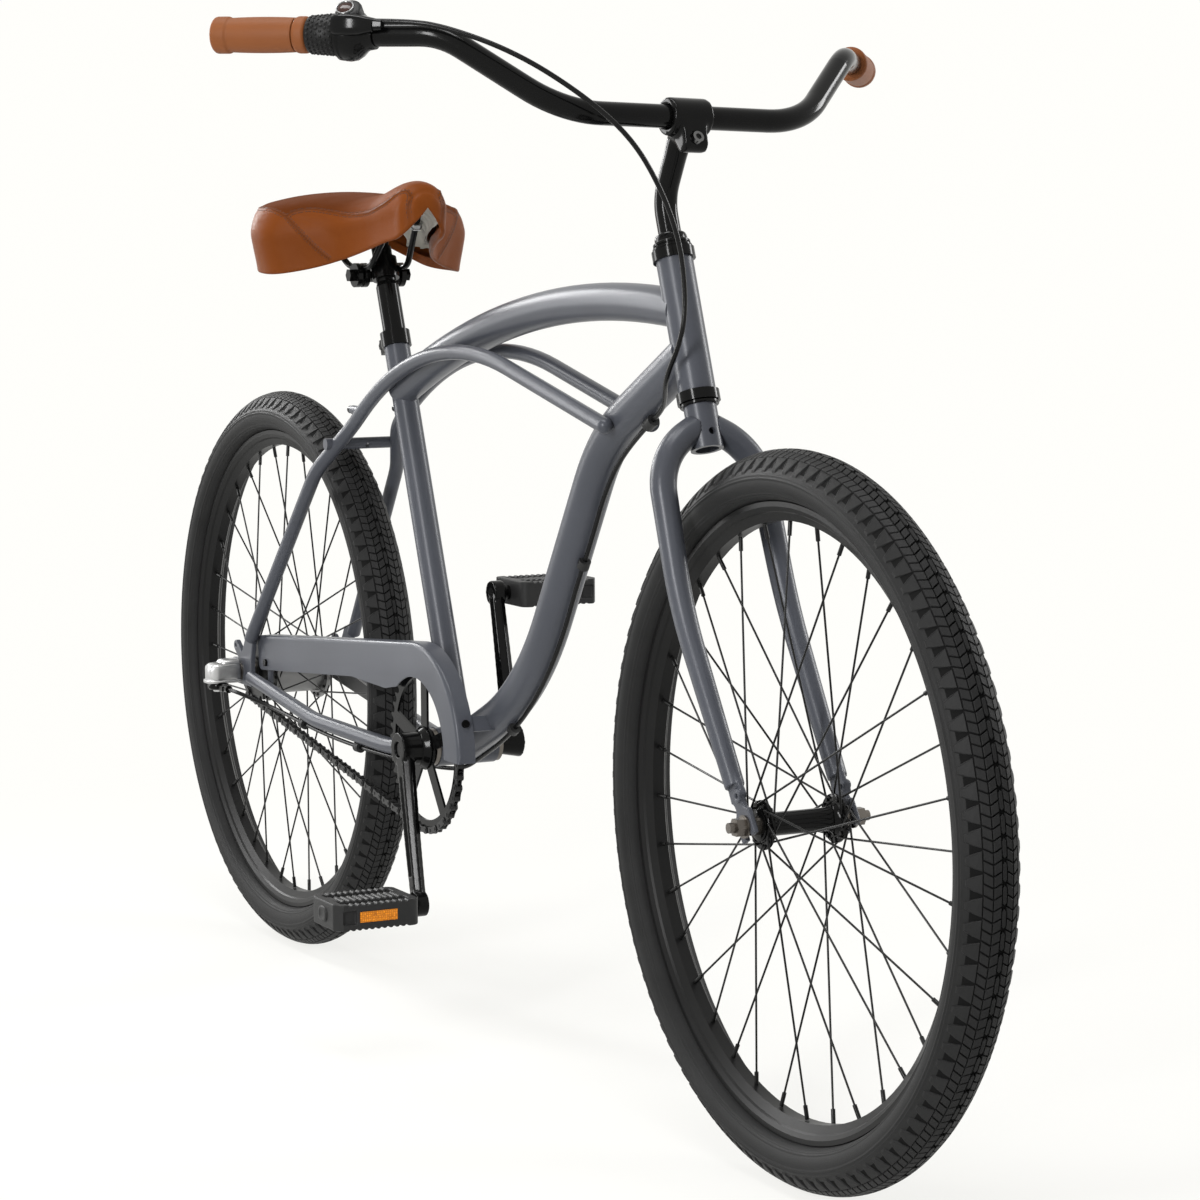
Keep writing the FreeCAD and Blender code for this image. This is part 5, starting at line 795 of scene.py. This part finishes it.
# Front hub, turned about its axle: half profile from the end cap to the middle
front_hub_half = ((42.0, 8.8), (42.0, 13.4), (41.5, 14.2), (40.9, 14.2), (40.5, 13.4), (40.1, 13.4),
                  (39.7, 14.6), (39.2, 15.4), (38.6, 15.8), (38.5, 21.6), (38.0, 22.4), (36.0, 22.4),
                  (35.5, 21.6), (35.4, 15.4), (33.4, 12.8), (30.0, 11.2), (26.0, 10.7), (0.0, 10.6))


def make_front_hub():
    half = in_metres(front_hub_half)
    profile = [(-place, radius) for place, radius in half] + list(reversed(half[:-1]))
    hub = turned_piece("front_hub_shell", profile, front_axle, Y_AXIS, wide_round)
    dress(shade_by_angle(hub), "black_gloss", "black_alloy", "front_wheel", "front_hub")


# Shift unit: satin cover with a step and a rim, the pin that carries the bell crank, and its cup
shift_cover_sections = ((70.0, 9.0, 8.0), (70.0, 12.2, 10.8), (71.5, 13.4, 12.0), (76.0, 14.0, 12.5),
                        (97.0, 14.0, 12.5), (103.0, 13.0, 11.6), (106.6, 10.6, 9.6), (108.0, 6.6, 6.0))
shift_step_sections = ((70.0, 8.0, 5.0), (70.0, 10.6, 7.6), (71.2, 11.4, 8.4), (88.0, 11.4, 8.4),
                       (91.0, 10.4, 7.4), (94.0, 7.4, 4.6))
shift_rim_sections = ((70.0, 13.0, 1.4), (70.6, 14.6, 2.4), (102.0, 14.8, 2.4), (107.6, 12.4, 2.4),
                      (109.6, 8.4, 2.0), (110.0, 6.0, 1.2))
# Each layer of the cover: its sections, and its height above the axle
shift_layers = ((shift_cover_sections, 0.0), (shift_step_sections, 8.0 * MM), (shift_rim_sections, -9.6 * MM))
shift_power = 4.0
bell_cup = ((0.5, 9.0), (0.5, 12.0), (2.6, 12.6), (5.6, 12.2), (7.0, 10.6), (7.2, 6.4))
shift_pin = ((10.0, 3.0), (19.3, 3.0), (19.3, 6.0), (21.6, 6.0), (22.3, 5.2))


def make_shift_unit():
    layers = []
    for sections, height in shift_layers:
        foot = rear_axle + Z_AXIS * height
        layers.append(hull_piece("layer", in_metres(sections), foot, -Y_AXIS, full_round, shift_power))
    cover = joined("shift_unit_cover", layers)
    dress(shade_by_angle(cover), "polished_cover", "polished_cover", "frame", "shift_unit")
    pivot = joint_place("bell_crank")
    pin_head = Vector((pivot.x, pivot.y, rear_axle.z))
    pin = turned_piece("shift_unit_pin", in_metres(shift_pin), pin_head, -Z_AXIS, pin_round)
    dress(shade_by_angle(pin), "bright_steel", "steel", "frame")
    cup = turned_piece("bell_crank_cup", in_metres(bell_cup), pivot, -Z_AXIS, small_round)
    dress(shade_by_angle(cup), "gloss_plastic", "black_plastic", "bell_crank")


# Pedals: moulded bodies with tapered outer corners, side pockets and an oval cap at the outer end
pedal_depth = 76.0 * MM
pedal_corner_size = (30.0 * MM, 12.0 * MM, 60.0 * MM)
pedal_corner_turn = math.radians(32.0)
pedal_pocket = (7.0 * MM, 15.0 * MM, 14.0 * MM)
pedal_pocket_in = 15.0 * MM
pedal_cap = ((-6.0, 11.0, 8.6), (0.6, 11.0, 8.6), (1.6, 10.2, 7.8), (1.9, 8.0, 5.8), (1.2, 6.4, 4.4),
             (1.2, 0.4, 0.3))
pedal_cap_power = 2.6
pedal_grain = 0.8 * MM
pedal_passes = 7


def make_pedal(node, outward):
    eye = joint_place(node)
    low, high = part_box(node)
    outer = high.y if outward > 0 else low.y
    cutters = []
    for ahead in SIDES:
        corner = Vector((eye.x + ahead * pedal_depth / 2, outer, eye.z))
        cutters.append(box_piece("corner", corner, pedal_corner_size, -ahead * outward * pedal_corner_turn))
        pocket = corner - Y_AXIS * (outward * pedal_pocket_in)
        cutters.append(box_piece("pocket", pocket, pedal_pocket))
    body = rounded_copy(node + "_body", node, pedal_grain, pedal_passes, cutters)
    cap_foot = Vector((eye.x, outer, eye.z))
    cap = hull_piece("cap", in_metres(pedal_cap), cap_foot, Y_AXIS * outward, small_round, pedal_cap_power)
    dress(joined(node + "_moulding", [body, cap]), "black_plastic", "black_plastic", node, node)


# Chain guard, with its outer edge rounded where the face meets the rim
guard_edge = 4.5 * MM
guard_edge_steps = 5
guard_rim_reach = 8.0 * MM
guard_flat_angle = math.radians(0.4)
upright_enough = 0.5


def on_guard_edge(edge, face_level):
    """True where the guard's outer face meets its deep rim."""
    if len(edge.link_faces) != 2 or max(abs(end.co.y - face_level) for end in edge.verts) > weld_reach:
        return False
    side_face = min(edge.link_faces, key=lambda face: abs(face.normal.y))
    depth = max(vertex.co.y for vertex in side_face.verts) - face_level
    return abs(side_face.normal.y) < upright_enough and depth > guard_rim_reach


def make_guard():
    piece = solid_copy("chain_guard_pressing", "chain_guard")
    with edited(piece.data) as work:
        bmesh.ops.dissolve_limit(work, angle_limit=guard_flat_angle, verts=work.verts, edges=work.edges)
        face_level = min(vertex.co.y for vertex in work.verts)
        chosen = [edge for edge in work.edges if on_guard_edge(edge, face_level)]
        bmesh.ops.bevel(work, geom=chosen, offset=guard_edge, segments=guard_edge_steps, profile=0.5,
                        affect="EDGES", clamp_overlap=False)
    dress(shade_by_angle(piece), "frame_paint", "frame_paint", "frame", "chain_guard")


# Shift cable: the points of its two runs
steering_route = (
    (0.3060, -0.2790, 1.0506), (0.3310, -0.2540, 1.0498), (0.356, -0.226, 1.045), (0.393, -0.172, 1.021),
    (0.418, -0.118, 0.984), (0.437, -0.077, 0.945), (0.440, -0.048, 0.900), (0.441, -0.028, 0.850),
    (0.441, -0.022, 0.799), (0.442, -0.026, 0.762), (0.415, -0.030, 0.722), (0.383, -0.013, 0.703),
    (0.352, 0, 0.688), (0.322, 0, 0.6727),
)
frame_route = (
    (0.3217, 0, 0.6725), (0.272, 0, 0.6452), (0.2307, 0, 0.6029), (0.1981, 0.0015, 0.5526),
    (0.1656, 0, 0.5022), (0.1323, 0.0015, 0.4494), (0.0924, 0, 0.3987), (0.0437, 0, 0.3563),
    (-0.0105, 0, 0.3238), (-0.0655, 0, 0.2993), (-0.100, -0.006, 0.2815), (-0.150, -0.019, 0.2785),
    (-0.205, -0.0285, 0.2793), (-0.270, -0.0375, 0.280), (-0.335, -0.0465, 0.2832), (-0.400, -0.054, 0.2887),
    (-0.462, -0.0595, 0.2967), (-0.515, -0.069, 0.3045), (-0.542, -0.087, 0.314), (-0.561, -0.0937, 0.3175),
    (-0.580, -0.094, 0.3176),
)
cable_radius = 2.4 * MM


def make_cable(name, route, node):
    curve = bpy.data.curves.new(name + "_line", "CURVE")
    curve.dimensions = "3D"
    spline = curve.splines.new("NURBS")
    spline.points.add(len(route) - 1)
    for point, place in zip(spline.points, route):
        point.co = (*place, 1.0)
    spline.order_u = 3
    spline.use_endpoint_u = True
    spline.resolution_u = 10
    curve.bevel_depth = cable_radius
    curve.bevel_resolution = 4
    curve.use_fill_caps = True
    line = add_object(name + "_line", curve)
    piece = add_object(name, evaluated_mesh(line))
    bpy.data.objects.remove(line)
    piece.data.polygons.foreach_set("use_smooth", [True] * len(piece.data.polygons))
    paint(piece, "cable_skin")
    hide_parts(node)
    return piece


def make_cables():
    loose = make_cable("shift_cable_loop", steering_route, "steering_cable")
    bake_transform(loose)
    held = make_cable("shift_cable_run", frame_route, "frame_cable")
    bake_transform(held)


# Saddle cover: rows from the tail to the nose as shares of its box, close to the part's
# Each row: place, half width, crown, skirt, shoulder
saddle_rows = (
    (0.000, 0.450, 0.612, 0.369, 0.70),
    (0.050, 0.758, 0.786, 0.175, 0.76),
    (0.130, 0.890, 0.883, 0.068, 0.78),
    (0.280, 1.000, 0.880, 0.020, 0.78),
    (0.400, 0.930, 0.868, 0.016, 0.77),
    (0.500, 0.690, 0.850, 0.075, 0.74),
    (0.600, 0.480, 0.848, 0.165, 0.70),
    (0.730, 0.350, 0.893, 0.268, 0.66),
    (0.850, 0.285, 0.975, 0.350, 0.64),
    (0.920, 0.248, 0.988, 0.385, 0.62),
    (0.965, 0.222, 0.962, 0.440, 0.62),
    (0.990, 0.180, 0.910, 0.505, 0.62),
    (1.000, 0.140, 0.850, 0.560, 0.62),
)
saddle_keys, *saddle_curves = zip(*saddle_rows)
# Places of the section's points, from the far shoulder over the crown to the hem
section_keys = (-0.42, 0.0, 0.42, 0.74, 1.0)
saddle_bolt = joint_place("saddle_tilt")
saddle_length = 266.0 * MM
saddle_half_width = 128.0 * MM
saddle_height = 103.0 * MM
saddle_nose_ahead = 134.5 * MM
saddle_foot_above = 3.1 * MM
saddle_tail_x = saddle_bolt.x + saddle_nose_ahead - saddle_length
saddle_foot_z = saddle_bolt.z + saddle_foot_above
shoulder_drop = 0.14
bulge_place = 0.52
tuck = 0.93
normal_step = 0.004
saddle_end_rows = 10
saddle_long_rows = 200
saddle_columns = 180
end_bulge = 4.0 * MM
end_hole = 0.001
hem_roll = 2.6 * MM
hem_turns = (0.5, 1.0, 1.6, 2.2, 2.8)
hem_gap = 0.6 * MM
hem_lip = 9.0 * MM
hem_lip_shares = (0.3, 1.0)
panel_puff = 1.8 * MM
puff_reach = 16.0 * MM
puff_hem_fade = 0.15
# Seam lines on the right half as (share of the length from the tail, share down the section from the crown)
top_seam = ((0.00, 0.42), (0.08, 0.50), (0.16, 0.53), (0.24, 0.53), (0.32, 0.52), (0.36, 0.53),
            (0.405, 0.565), (0.437, 0.605), (0.448, 0.555), (0.490, 0.521), (0.56, 0.575), (0.626, 0.640),
            (0.70, 0.685), (0.766, 0.710), (0.83, 0.705), (0.885, 0.665), (0.936, 0.546), (0.968, 0.485),
            (0.986, 0.510), (0.994, 0.62), (0.997, 0.985))
corner_seam = ((0.437, 0.61), (0.493, 0.78), (0.526, 0.886), (0.562, 0.985))
seam_steps = 240
seam_depth = 1.3 * MM
seam_half = 2.4 * MM
seam_shade_reach = 1.0 * MM
stitch_spacing = 4.4 * MM
stitch_length = 3.1 * MM
stitch_radius = 0.5 * MM
stitch_row_gap = 2.6 * MM
stitch_lift = 0.1 * MM
# Each step of a stitch: share of its half length, share of its radius
stitch_shape = ((-1.0, 0.35), (-0.75, 0.85), (0.0, 1.0), (0.75, 0.85), (1.0, 0.35))
# Painted shade on the top panel: its blend across the top seam, and its fade towards the nose and the tail
panel_blend = 0.03
panel_fade_start = 0.55
panel_fade_end = 0.95
panel_tail_fade = 0.16


def curve_through(values, keys, at):
    """Smooth value at a key, from a cubic through the listed ones."""
    last = len(keys) - 1
    here = max(index for index in range(last) if keys[index] <= at or index == 0)
    span = keys[here + 1] - keys[here]
    share = (at - keys[here]) / span

    def slope(index):
        low = max(index - 1, 0)
        high = min(index + 1, last)
        return (values[high] - values[low]) / (keys[high] - keys[low])

    square = share * share
    cube = square * share
    return (values[here] * (2 * cube - 3 * square + 1) + slope(here) * span * (cube - 2 * square + share)
            + values[here + 1] * (3 * square - 2 * cube) + slope(here + 1) * span * (cube - square))


def saddle_row(share):
    half, crown, skirt, shoulder = (curve_through(values, saddle_keys, share) for values in saddle_curves)
    crown_z = saddle_foot_z + crown * saddle_height
    skirt_z = saddle_foot_z + skirt * saddle_height
    return half * saddle_half_width, crown_z, skirt_z, shoulder


def saddle_point(share, down, side, padding=0.0, crown_padding=0.0):
    """Point of the cover, or of a shell under it: share runs from tail to nose, down from crown to hem."""
    full, high, skirt, shoulder = saddle_row(share)
    half = full * full / (full + padding)
    crown = high - crown_padding
    drop = crown - skirt
    edge = crown - shoulder_drop * drop
    across = (-shoulder * half, 0.0, shoulder * half, half, tuck * half)
    level = (edge, crown, edge, skirt + bulge_place * drop, skirt)
    return Vector((saddle_tail_x + share * saddle_length, side * curve_through(across, section_keys, down),
                   curve_through(level, section_keys, down)))


def saddle_normal(share, down, side):
    along_low = saddle_point(max(share - normal_step, 0.0), down, side)
    along_high = saddle_point(min(share + normal_step, 1.0), down, side)
    around_low = saddle_point(share, max(down - normal_step, 0.0), side)
    around_high = saddle_point(share, min(down + normal_step, 1.0), side)
    normal = (along_high - along_low).cross(around_high - around_low) * -side
    return normal.normalized()


def seam_points(line, side):
    """Places every millimetre or so along a seam line, each with the cover's normal."""
    keys = [index / (len(line) - 1) for index in range(len(line))]
    shares, downs = zip(*line)
    places = []
    for step in range(seam_steps + 1):
        share = clamped(curve_through(shares, keys, step / seam_steps))
        down = clamped(curve_through(downs, keys, step / seam_steps))
        places.append((saddle_point(share, down, side), saddle_normal(share, down, side)))
    return places


def seam_stitches(seam):
    """Two rows of short threads, one each side of the seam."""
    profile = [(along * stitch_length / 2, stitch_radius * size) for along, size in stitch_shape]
    stitches = []
    travelled = 0.0
    following = stitch_spacing / 2
    for (start, normal), (end, _) in zip(seam, seam[1:]):
        step = (end - start).length
        if travelled + step >= following and step > 0:
            along = (end - start).normalized()
            beside = along.cross(normal).normalized()
            for side in SIDES:
                middle = start + beside * (side * stitch_row_gap) + normal * stitch_lift
                stitches.append(turned_piece("stitch", profile, middle, along, thread_round))
            following += stitch_spacing
        travelled += step
    return stitches


def top_shade_tone(share, down):
    """Share of painted shade: 1 on the panel inside the top seam, fading out towards the nose and the tail."""
    last = len(top_seam) - 1
    here = next(index for index in range(1, last + 1) if share <= top_seam[index][0] or index == last)
    (low, first), (high, second) = top_seam[here - 1], top_seam[here]
    edge = first + (second - first) * min((share - low) / (high - low), 1.0)
    inside = clamped((edge - down) / panel_blend)
    ahead = clamped((panel_fade_end - share) / (panel_fade_end - panel_fade_start))
    return inside * ahead * min(share / panel_tail_fade, 1.0)


def cover_row(share, tree):
    """One row from the right hem over the crown to the left hem: points, painted seam shade and painted top-panel
    shade.
    """
    points = []
    seam_shade_tones = []
    top_shade_tones = []
    for column in range(saddle_columns + 1):
        place = 2 * column / saddle_columns - 1
        side = -1 if place < 0 else 1
        down = abs(place)
        point = saddle_point(share, down, side)
        gap = tree.find(point)[2]
        puff = panel_puff * (1 - math.exp(-(gap / puff_reach) ** 2)) * min(1.0, (1 - down) / puff_hem_fade)
        groove = seam_depth * max(0.0, 1 - (gap / seam_half) ** 2) ** 2
        points.append(point + saddle_normal(share, down, side) * (puff - groove))
        # Painted shade along the seam groove, strongest on the seam line
        seam_shade_tones.append(math.exp(-(gap / seam_shade_reach) ** 2))
        # Painted shade on the top panel inside the top seam
        top_shade_tones.append(top_shade_tone(share, down))
    return points, seam_shade_tones, top_shade_tones


def hemmed(points):
    """The row with its lower edges rolled under."""
    ends = []
    for edge, side in ((points[0], -1), (points[-1], 1)):
        inward = Vector((0, -side, 0))
        roll = [edge + inward * (hem_roll * (1 - math.cos(turn))) - Z_AXIS * (hem_roll * math.sin(turn))
                for turn in hem_turns]
        fold = edge + inward * (2 * hem_roll + hem_gap)
        lip = [fold + Z_AXIS * (hem_lip * share) for share in hem_lip_shares]
        ends.append(roll + lip)
    return list(reversed(ends[0])) + points + ends[1]


def capped(rows):
    """Rows with both ends rounded in towards the middle of the end section."""
    ends = []
    for row, way in ((rows[0], 1), (rows[-1], -1)):
        heights = [point.z for point in row]
        centre = Vector((row[0].x, 0, (min(heights) + max(heights)) / 2))
        caps = []
        for step in range(1, saddle_end_rows + 1):
            turn = math.pi / 2 * step / saddle_end_rows
            shrink = math.cos(turn) * (1 - end_hole) + end_hole
            outward = Vector((way * end_bulge * math.sin(turn), 0, 0))
            caps.append([centre + (point - centre) * shrink - outward for point in row])
        ends.append(caps)
    return list(reversed(ends[0])) + rows + ends[1]


def add_tones(piece, name, tone_rows):
    """Values of the cover's grid as a named attribute, with none on the hem or the ends."""
    edge = [0.0] * (len(hem_turns) + len(hem_lip_shares))
    blank = [[0.0] * (len(tone_rows[0]) + 2 * len(edge))] * saddle_end_rows
    whole = blank + [edge + tones + edge for tones in tone_rows] + blank
    made = piece.data.attributes.new(name, "FLOAT", "POINT")
    made.data.foreach_set("value", [tone for tones in whole for tone in tones])


def make_saddle():
    seams = [seam_points(line, side) for line in (top_seam, corner_seam) for side in SIDES]
    marks = [place for seam in seams for place, normal in seam]
    tree = KDTree(len(marks))
    for index, place in enumerate(marks):
        tree.insert(place, index)
    tree.balance()
    grid = [cover_row(step / saddle_long_rows, tree) for step in range(saddle_long_rows + 1)]
    points, seam_shade_tones, top_shade_tones = zip(*grid)
    rows = capped([hemmed(row) for row in points])
    faces = grid_faces(len(rows), len(rows[0]), False, False)
    cover = mesh_object("saddle_cover_skin", [point for row in rows for point in row], faces)
    outward_normals(cover)
    # The cover carries the painted seam shade and the painted top-panel shade as point attributes
    add_tones(cover, "seam", seam_shade_tones)
    add_tones(cover, "top_panel", top_shade_tones)
    threads = joined("saddle_stitches", [stitch for seam in seams for stitch in seam_stitches(seam)])
    dress(cover, "saddle_skin", "saddle_skin", "saddle", "saddle_cover")
    dress(threads, "stitch_thread", "saddle_skin", "saddle")


# Saddle base: a pale moulded shell with cross ribs, and the nuts of the rails
base_start = 0.06
base_end = 0.95
base_edge = 0.84
base_rows = 120
base_columns = 48
base_padding = 15.5 * MM
base_crown_padding = 24.5 * MM
base_wall = 3.0 * MM
rib_count = 15
rib_height = 4.0 * MM
rib_power = 0.4
rail_nut_places = (0.66, 0.90)
nut_sides = 6
rail_bend_ahead = Vector((31.0, 22.0, 9.0)) * MM
rail_nose_ahead = Vector((88.0, 13.0, 76.0)) * MM
rail_nut = ((0.0, 3.6), (0.0, 7.2), (1.2, 7.4), (1.3, 6.4), (6.4, 6.4), (7.0, 5.6), (7.0, 3.6))


def base_ring(step):
    """Section of the shell: over the outside from right to left, and back along the inside."""
    share = base_start + (base_end - base_start) * step / base_rows
    rib = rib_height * max(0.0, math.sin(math.tau * rib_count * step / base_rows)) ** rib_power
    ring = []
    for layer, extra in ((1, 0.0), (-1, base_wall + rib)):
        for column in range(base_columns + 1):
            place = layer * (2 * column / base_columns - 1) * base_edge
            side = -1 if place < 0 else 1
            ring.append(saddle_point(share, abs(place), side, base_padding + extra,
                                     base_crown_padding + extra))
    return ring


def make_saddle_base():
    rings = [base_ring(step) for step in range(base_rows + 1)]
    columns = len(rings[0])
    faces = grid_faces(len(rings), columns, False, True)
    for first in (0, (len(rings) - 1) * columns):
        last = first + columns - 1
        for column in range(base_columns):
            faces.append((first + column, first + column + 1, last - column - 1, last - column))
    shell = mesh_object("saddle_base_moulding", [point for ring in rings for point in ring], faces)
    outward_normals(shell)
    dress(shade_by_angle(shell), "saddle_shell", "saddle_shell", "saddle", "saddle_base")


def make_rail_nuts():
    nuts = []
    for side in SIDES:
        mirror = Vector((1, side, 1))
        start = saddle_bolt + rail_bend_ahead * mirror
        end = saddle_bolt + rail_nose_ahead * mirror
        for share in rail_nut_places:
            place = start.lerp(end, share)
            nuts.append(turned_piece("nut", in_metres(rail_nut), place, end - start, nut_sides))
    dress(shade_by_angle(joined("saddle_rail_nuts", nuts)), "bright_steel", "steel", "saddle")


# Stage, light and camera
camera_place = Vector((3.261, -1.531, 0.870))
camera_yaw = math.radians(63.29)
camera_pitch = math.radians(6.28)
camera_roll = math.radians(-0.32)
camera_lens = 103.93
camera_sensor = 36.0
camera_reach = 60.0
backdrop_colour = colour(1.0, 0.995, 0.965)
ambient_colour = colour(0.98, 0.98, 1.0)
ambient_strength = 0.20
floor_colour = colour(0.86, 0.86, 0.84)
floor_half = 40.0
# Distances at which the floor's fade into the backdrop starts and ends, and its share near the object
floor_fade_start = 0.7
floor_fade_end = 1.9
floor_fade_low = 0.80
# Each lamp: name, place, height it aims at, size, power in watts
LAMPS = (
    ("overhead", (0.2, -0.5, 3.2), 0.5, (2.4, 0.45), 50),
    ("right_key", (2.0, -3.0, 1.7), 0.6, (0.45, 1.8), 108),
    ("left_fill", (0.4, 3.4, 1.9), 0.6, (0.7, 1.6), 60),
    ("rear_fill", (-3.2, -0.6, 1.8), 0.6, (0.6, 1.4), 40),
    ("edge_strip", (-2.6, -2.0, 1.4), 0.8, (0.9, 2.2), 50),
)


def make_camera():
    level = math.cos(camera_pitch)
    back = Vector((math.sin(camera_yaw) * level, -math.cos(camera_yaw) * level, math.sin(camera_pitch)))
    right = Vector((math.cos(camera_yaw), math.sin(camera_yaw), 0))
    up = back.cross(right)
    rolled_right = right * math.cos(camera_roll) + up * math.sin(camera_roll)
    rolled_up = up * math.cos(camera_roll) - right * math.sin(camera_roll)
    data = bpy.data.cameras.new("camera")
    data.lens = camera_lens
    data.sensor_width = camera_sensor
    data.clip_end = camera_reach
    camera = add_object("camera", data)
    facing = Matrix((rolled_right, rolled_up, back)).transposed()
    camera.matrix_world = Matrix.Translation(camera_place) @ facing.to_4x4()
    scene.camera = camera


def backdrop_seen(tree):
    """1 for rays that should see the plain backdrop: camera, glossy and transmission rays."""
    rays = add_node(tree, "LightPath").outputs
    direct = in_order(tree, "Math", rays["Is Camera Ray"], rays["Is Transmission Ray"], operation="MAXIMUM")
    return in_order(tree, "Math", direct, rays["Is Glossy Ray"], operation="MAXIMUM")


def make_world():
    world = bpy.data.worlds.new("studio")
    world.use_nodes = True
    scene.world = world
    tree = world.node_tree
    ground = tree.nodes["Background"]
    ground.inputs["Color"].default_value = ambient_colour
    ground.inputs["Strength"].default_value = ambient_strength
    plain = add_node(tree, "Background", Color=backdrop_colour, Strength=1.0)
    mixed = in_order(tree, "MixShader", backdrop_seen(tree), ground.outputs[0], plain.outputs[0])
    tree.links.new(mixed, tree.nodes["World Output"].inputs["Surface"])


def make_floor():
    """Pale floor that keeps the shadow near the object and fades into the backdrop further out."""
    corners = [(x * floor_half, y * floor_half, 0) for x, y in ((-1, -1), (1, -1), (1, 1), (-1, 1))]
    floor = mesh_object("floor", corners, [(0, 1, 2, 3)])
    made, tree = new_material("floor")
    set_shader(tree, Base_Color=floor_colour, Roughness=0.9, Specular_IOR_Level=0.0)
    lit = tree.nodes["Principled BSDF"].outputs[0]
    plain = add_node(tree, "Emission", Color=backdrop_colour, Strength=1.0).outputs[0]
    place = add_node(tree, "TexCoord").outputs["Object"]
    reach = add_node(tree, "VectorMath", operation="LENGTH", Vector=place).outputs["Value"]
    fade = add_node(tree, "MapRange", interpolation_type="SMOOTHSTEP", Value=reach, From_Min=floor_fade_start,
                    From_Max=floor_fade_end, To_Min=floor_fade_low, To_Max=1.0).outputs["Result"]
    faded = in_order(tree, "MixShader", fade, lit, plain)
    chosen = in_order(tree, "MixShader", backdrop_seen(tree), lit, faded)
    tree.links.new(chosen, tree.nodes["Material Output"].inputs["Surface"])
    floor.data.materials.append(made)


def make_lights():
    for name, place, aim, size, power in LAMPS:
        data = bpy.data.lights.new(name, "AREA")
        data.shape = "RECTANGLE"
        data.size, data.size_y = size
        data.energy = power
        lamp = add_object(name, data)
        lamp.location = place
        lamp.rotation_euler = (Vector((0, 0, aim)) - Vector(place)).to_track_quat("-Z", "Y").to_euler()


def main():
    scene.view_settings.view_transform = "Standard"
    paint_frame_nodes()
    make_tyre("front_wheel", "front_tyre", front_axle)
    make_tyre("rear_wheel", "rear_tyre", rear_axle)
    make_grips()
    make_sleeve()
    make_shifter_housing()
    make_forgings()
    make_fork_blade("right_fork_blade")
    make_fork_blade("left_fork_blade")
    make_headset()
    make_front_hub()
    make_shift_unit()
    make_pedal("right_pedal", -1)
    make_pedal("left_pedal", 1)
    make_guard()
    make_cables()
    make_saddle()
    make_saddle_base()
    make_rail_nuts()
    make_camera()
    make_world()
    make_floor()
    make_lights()


main()
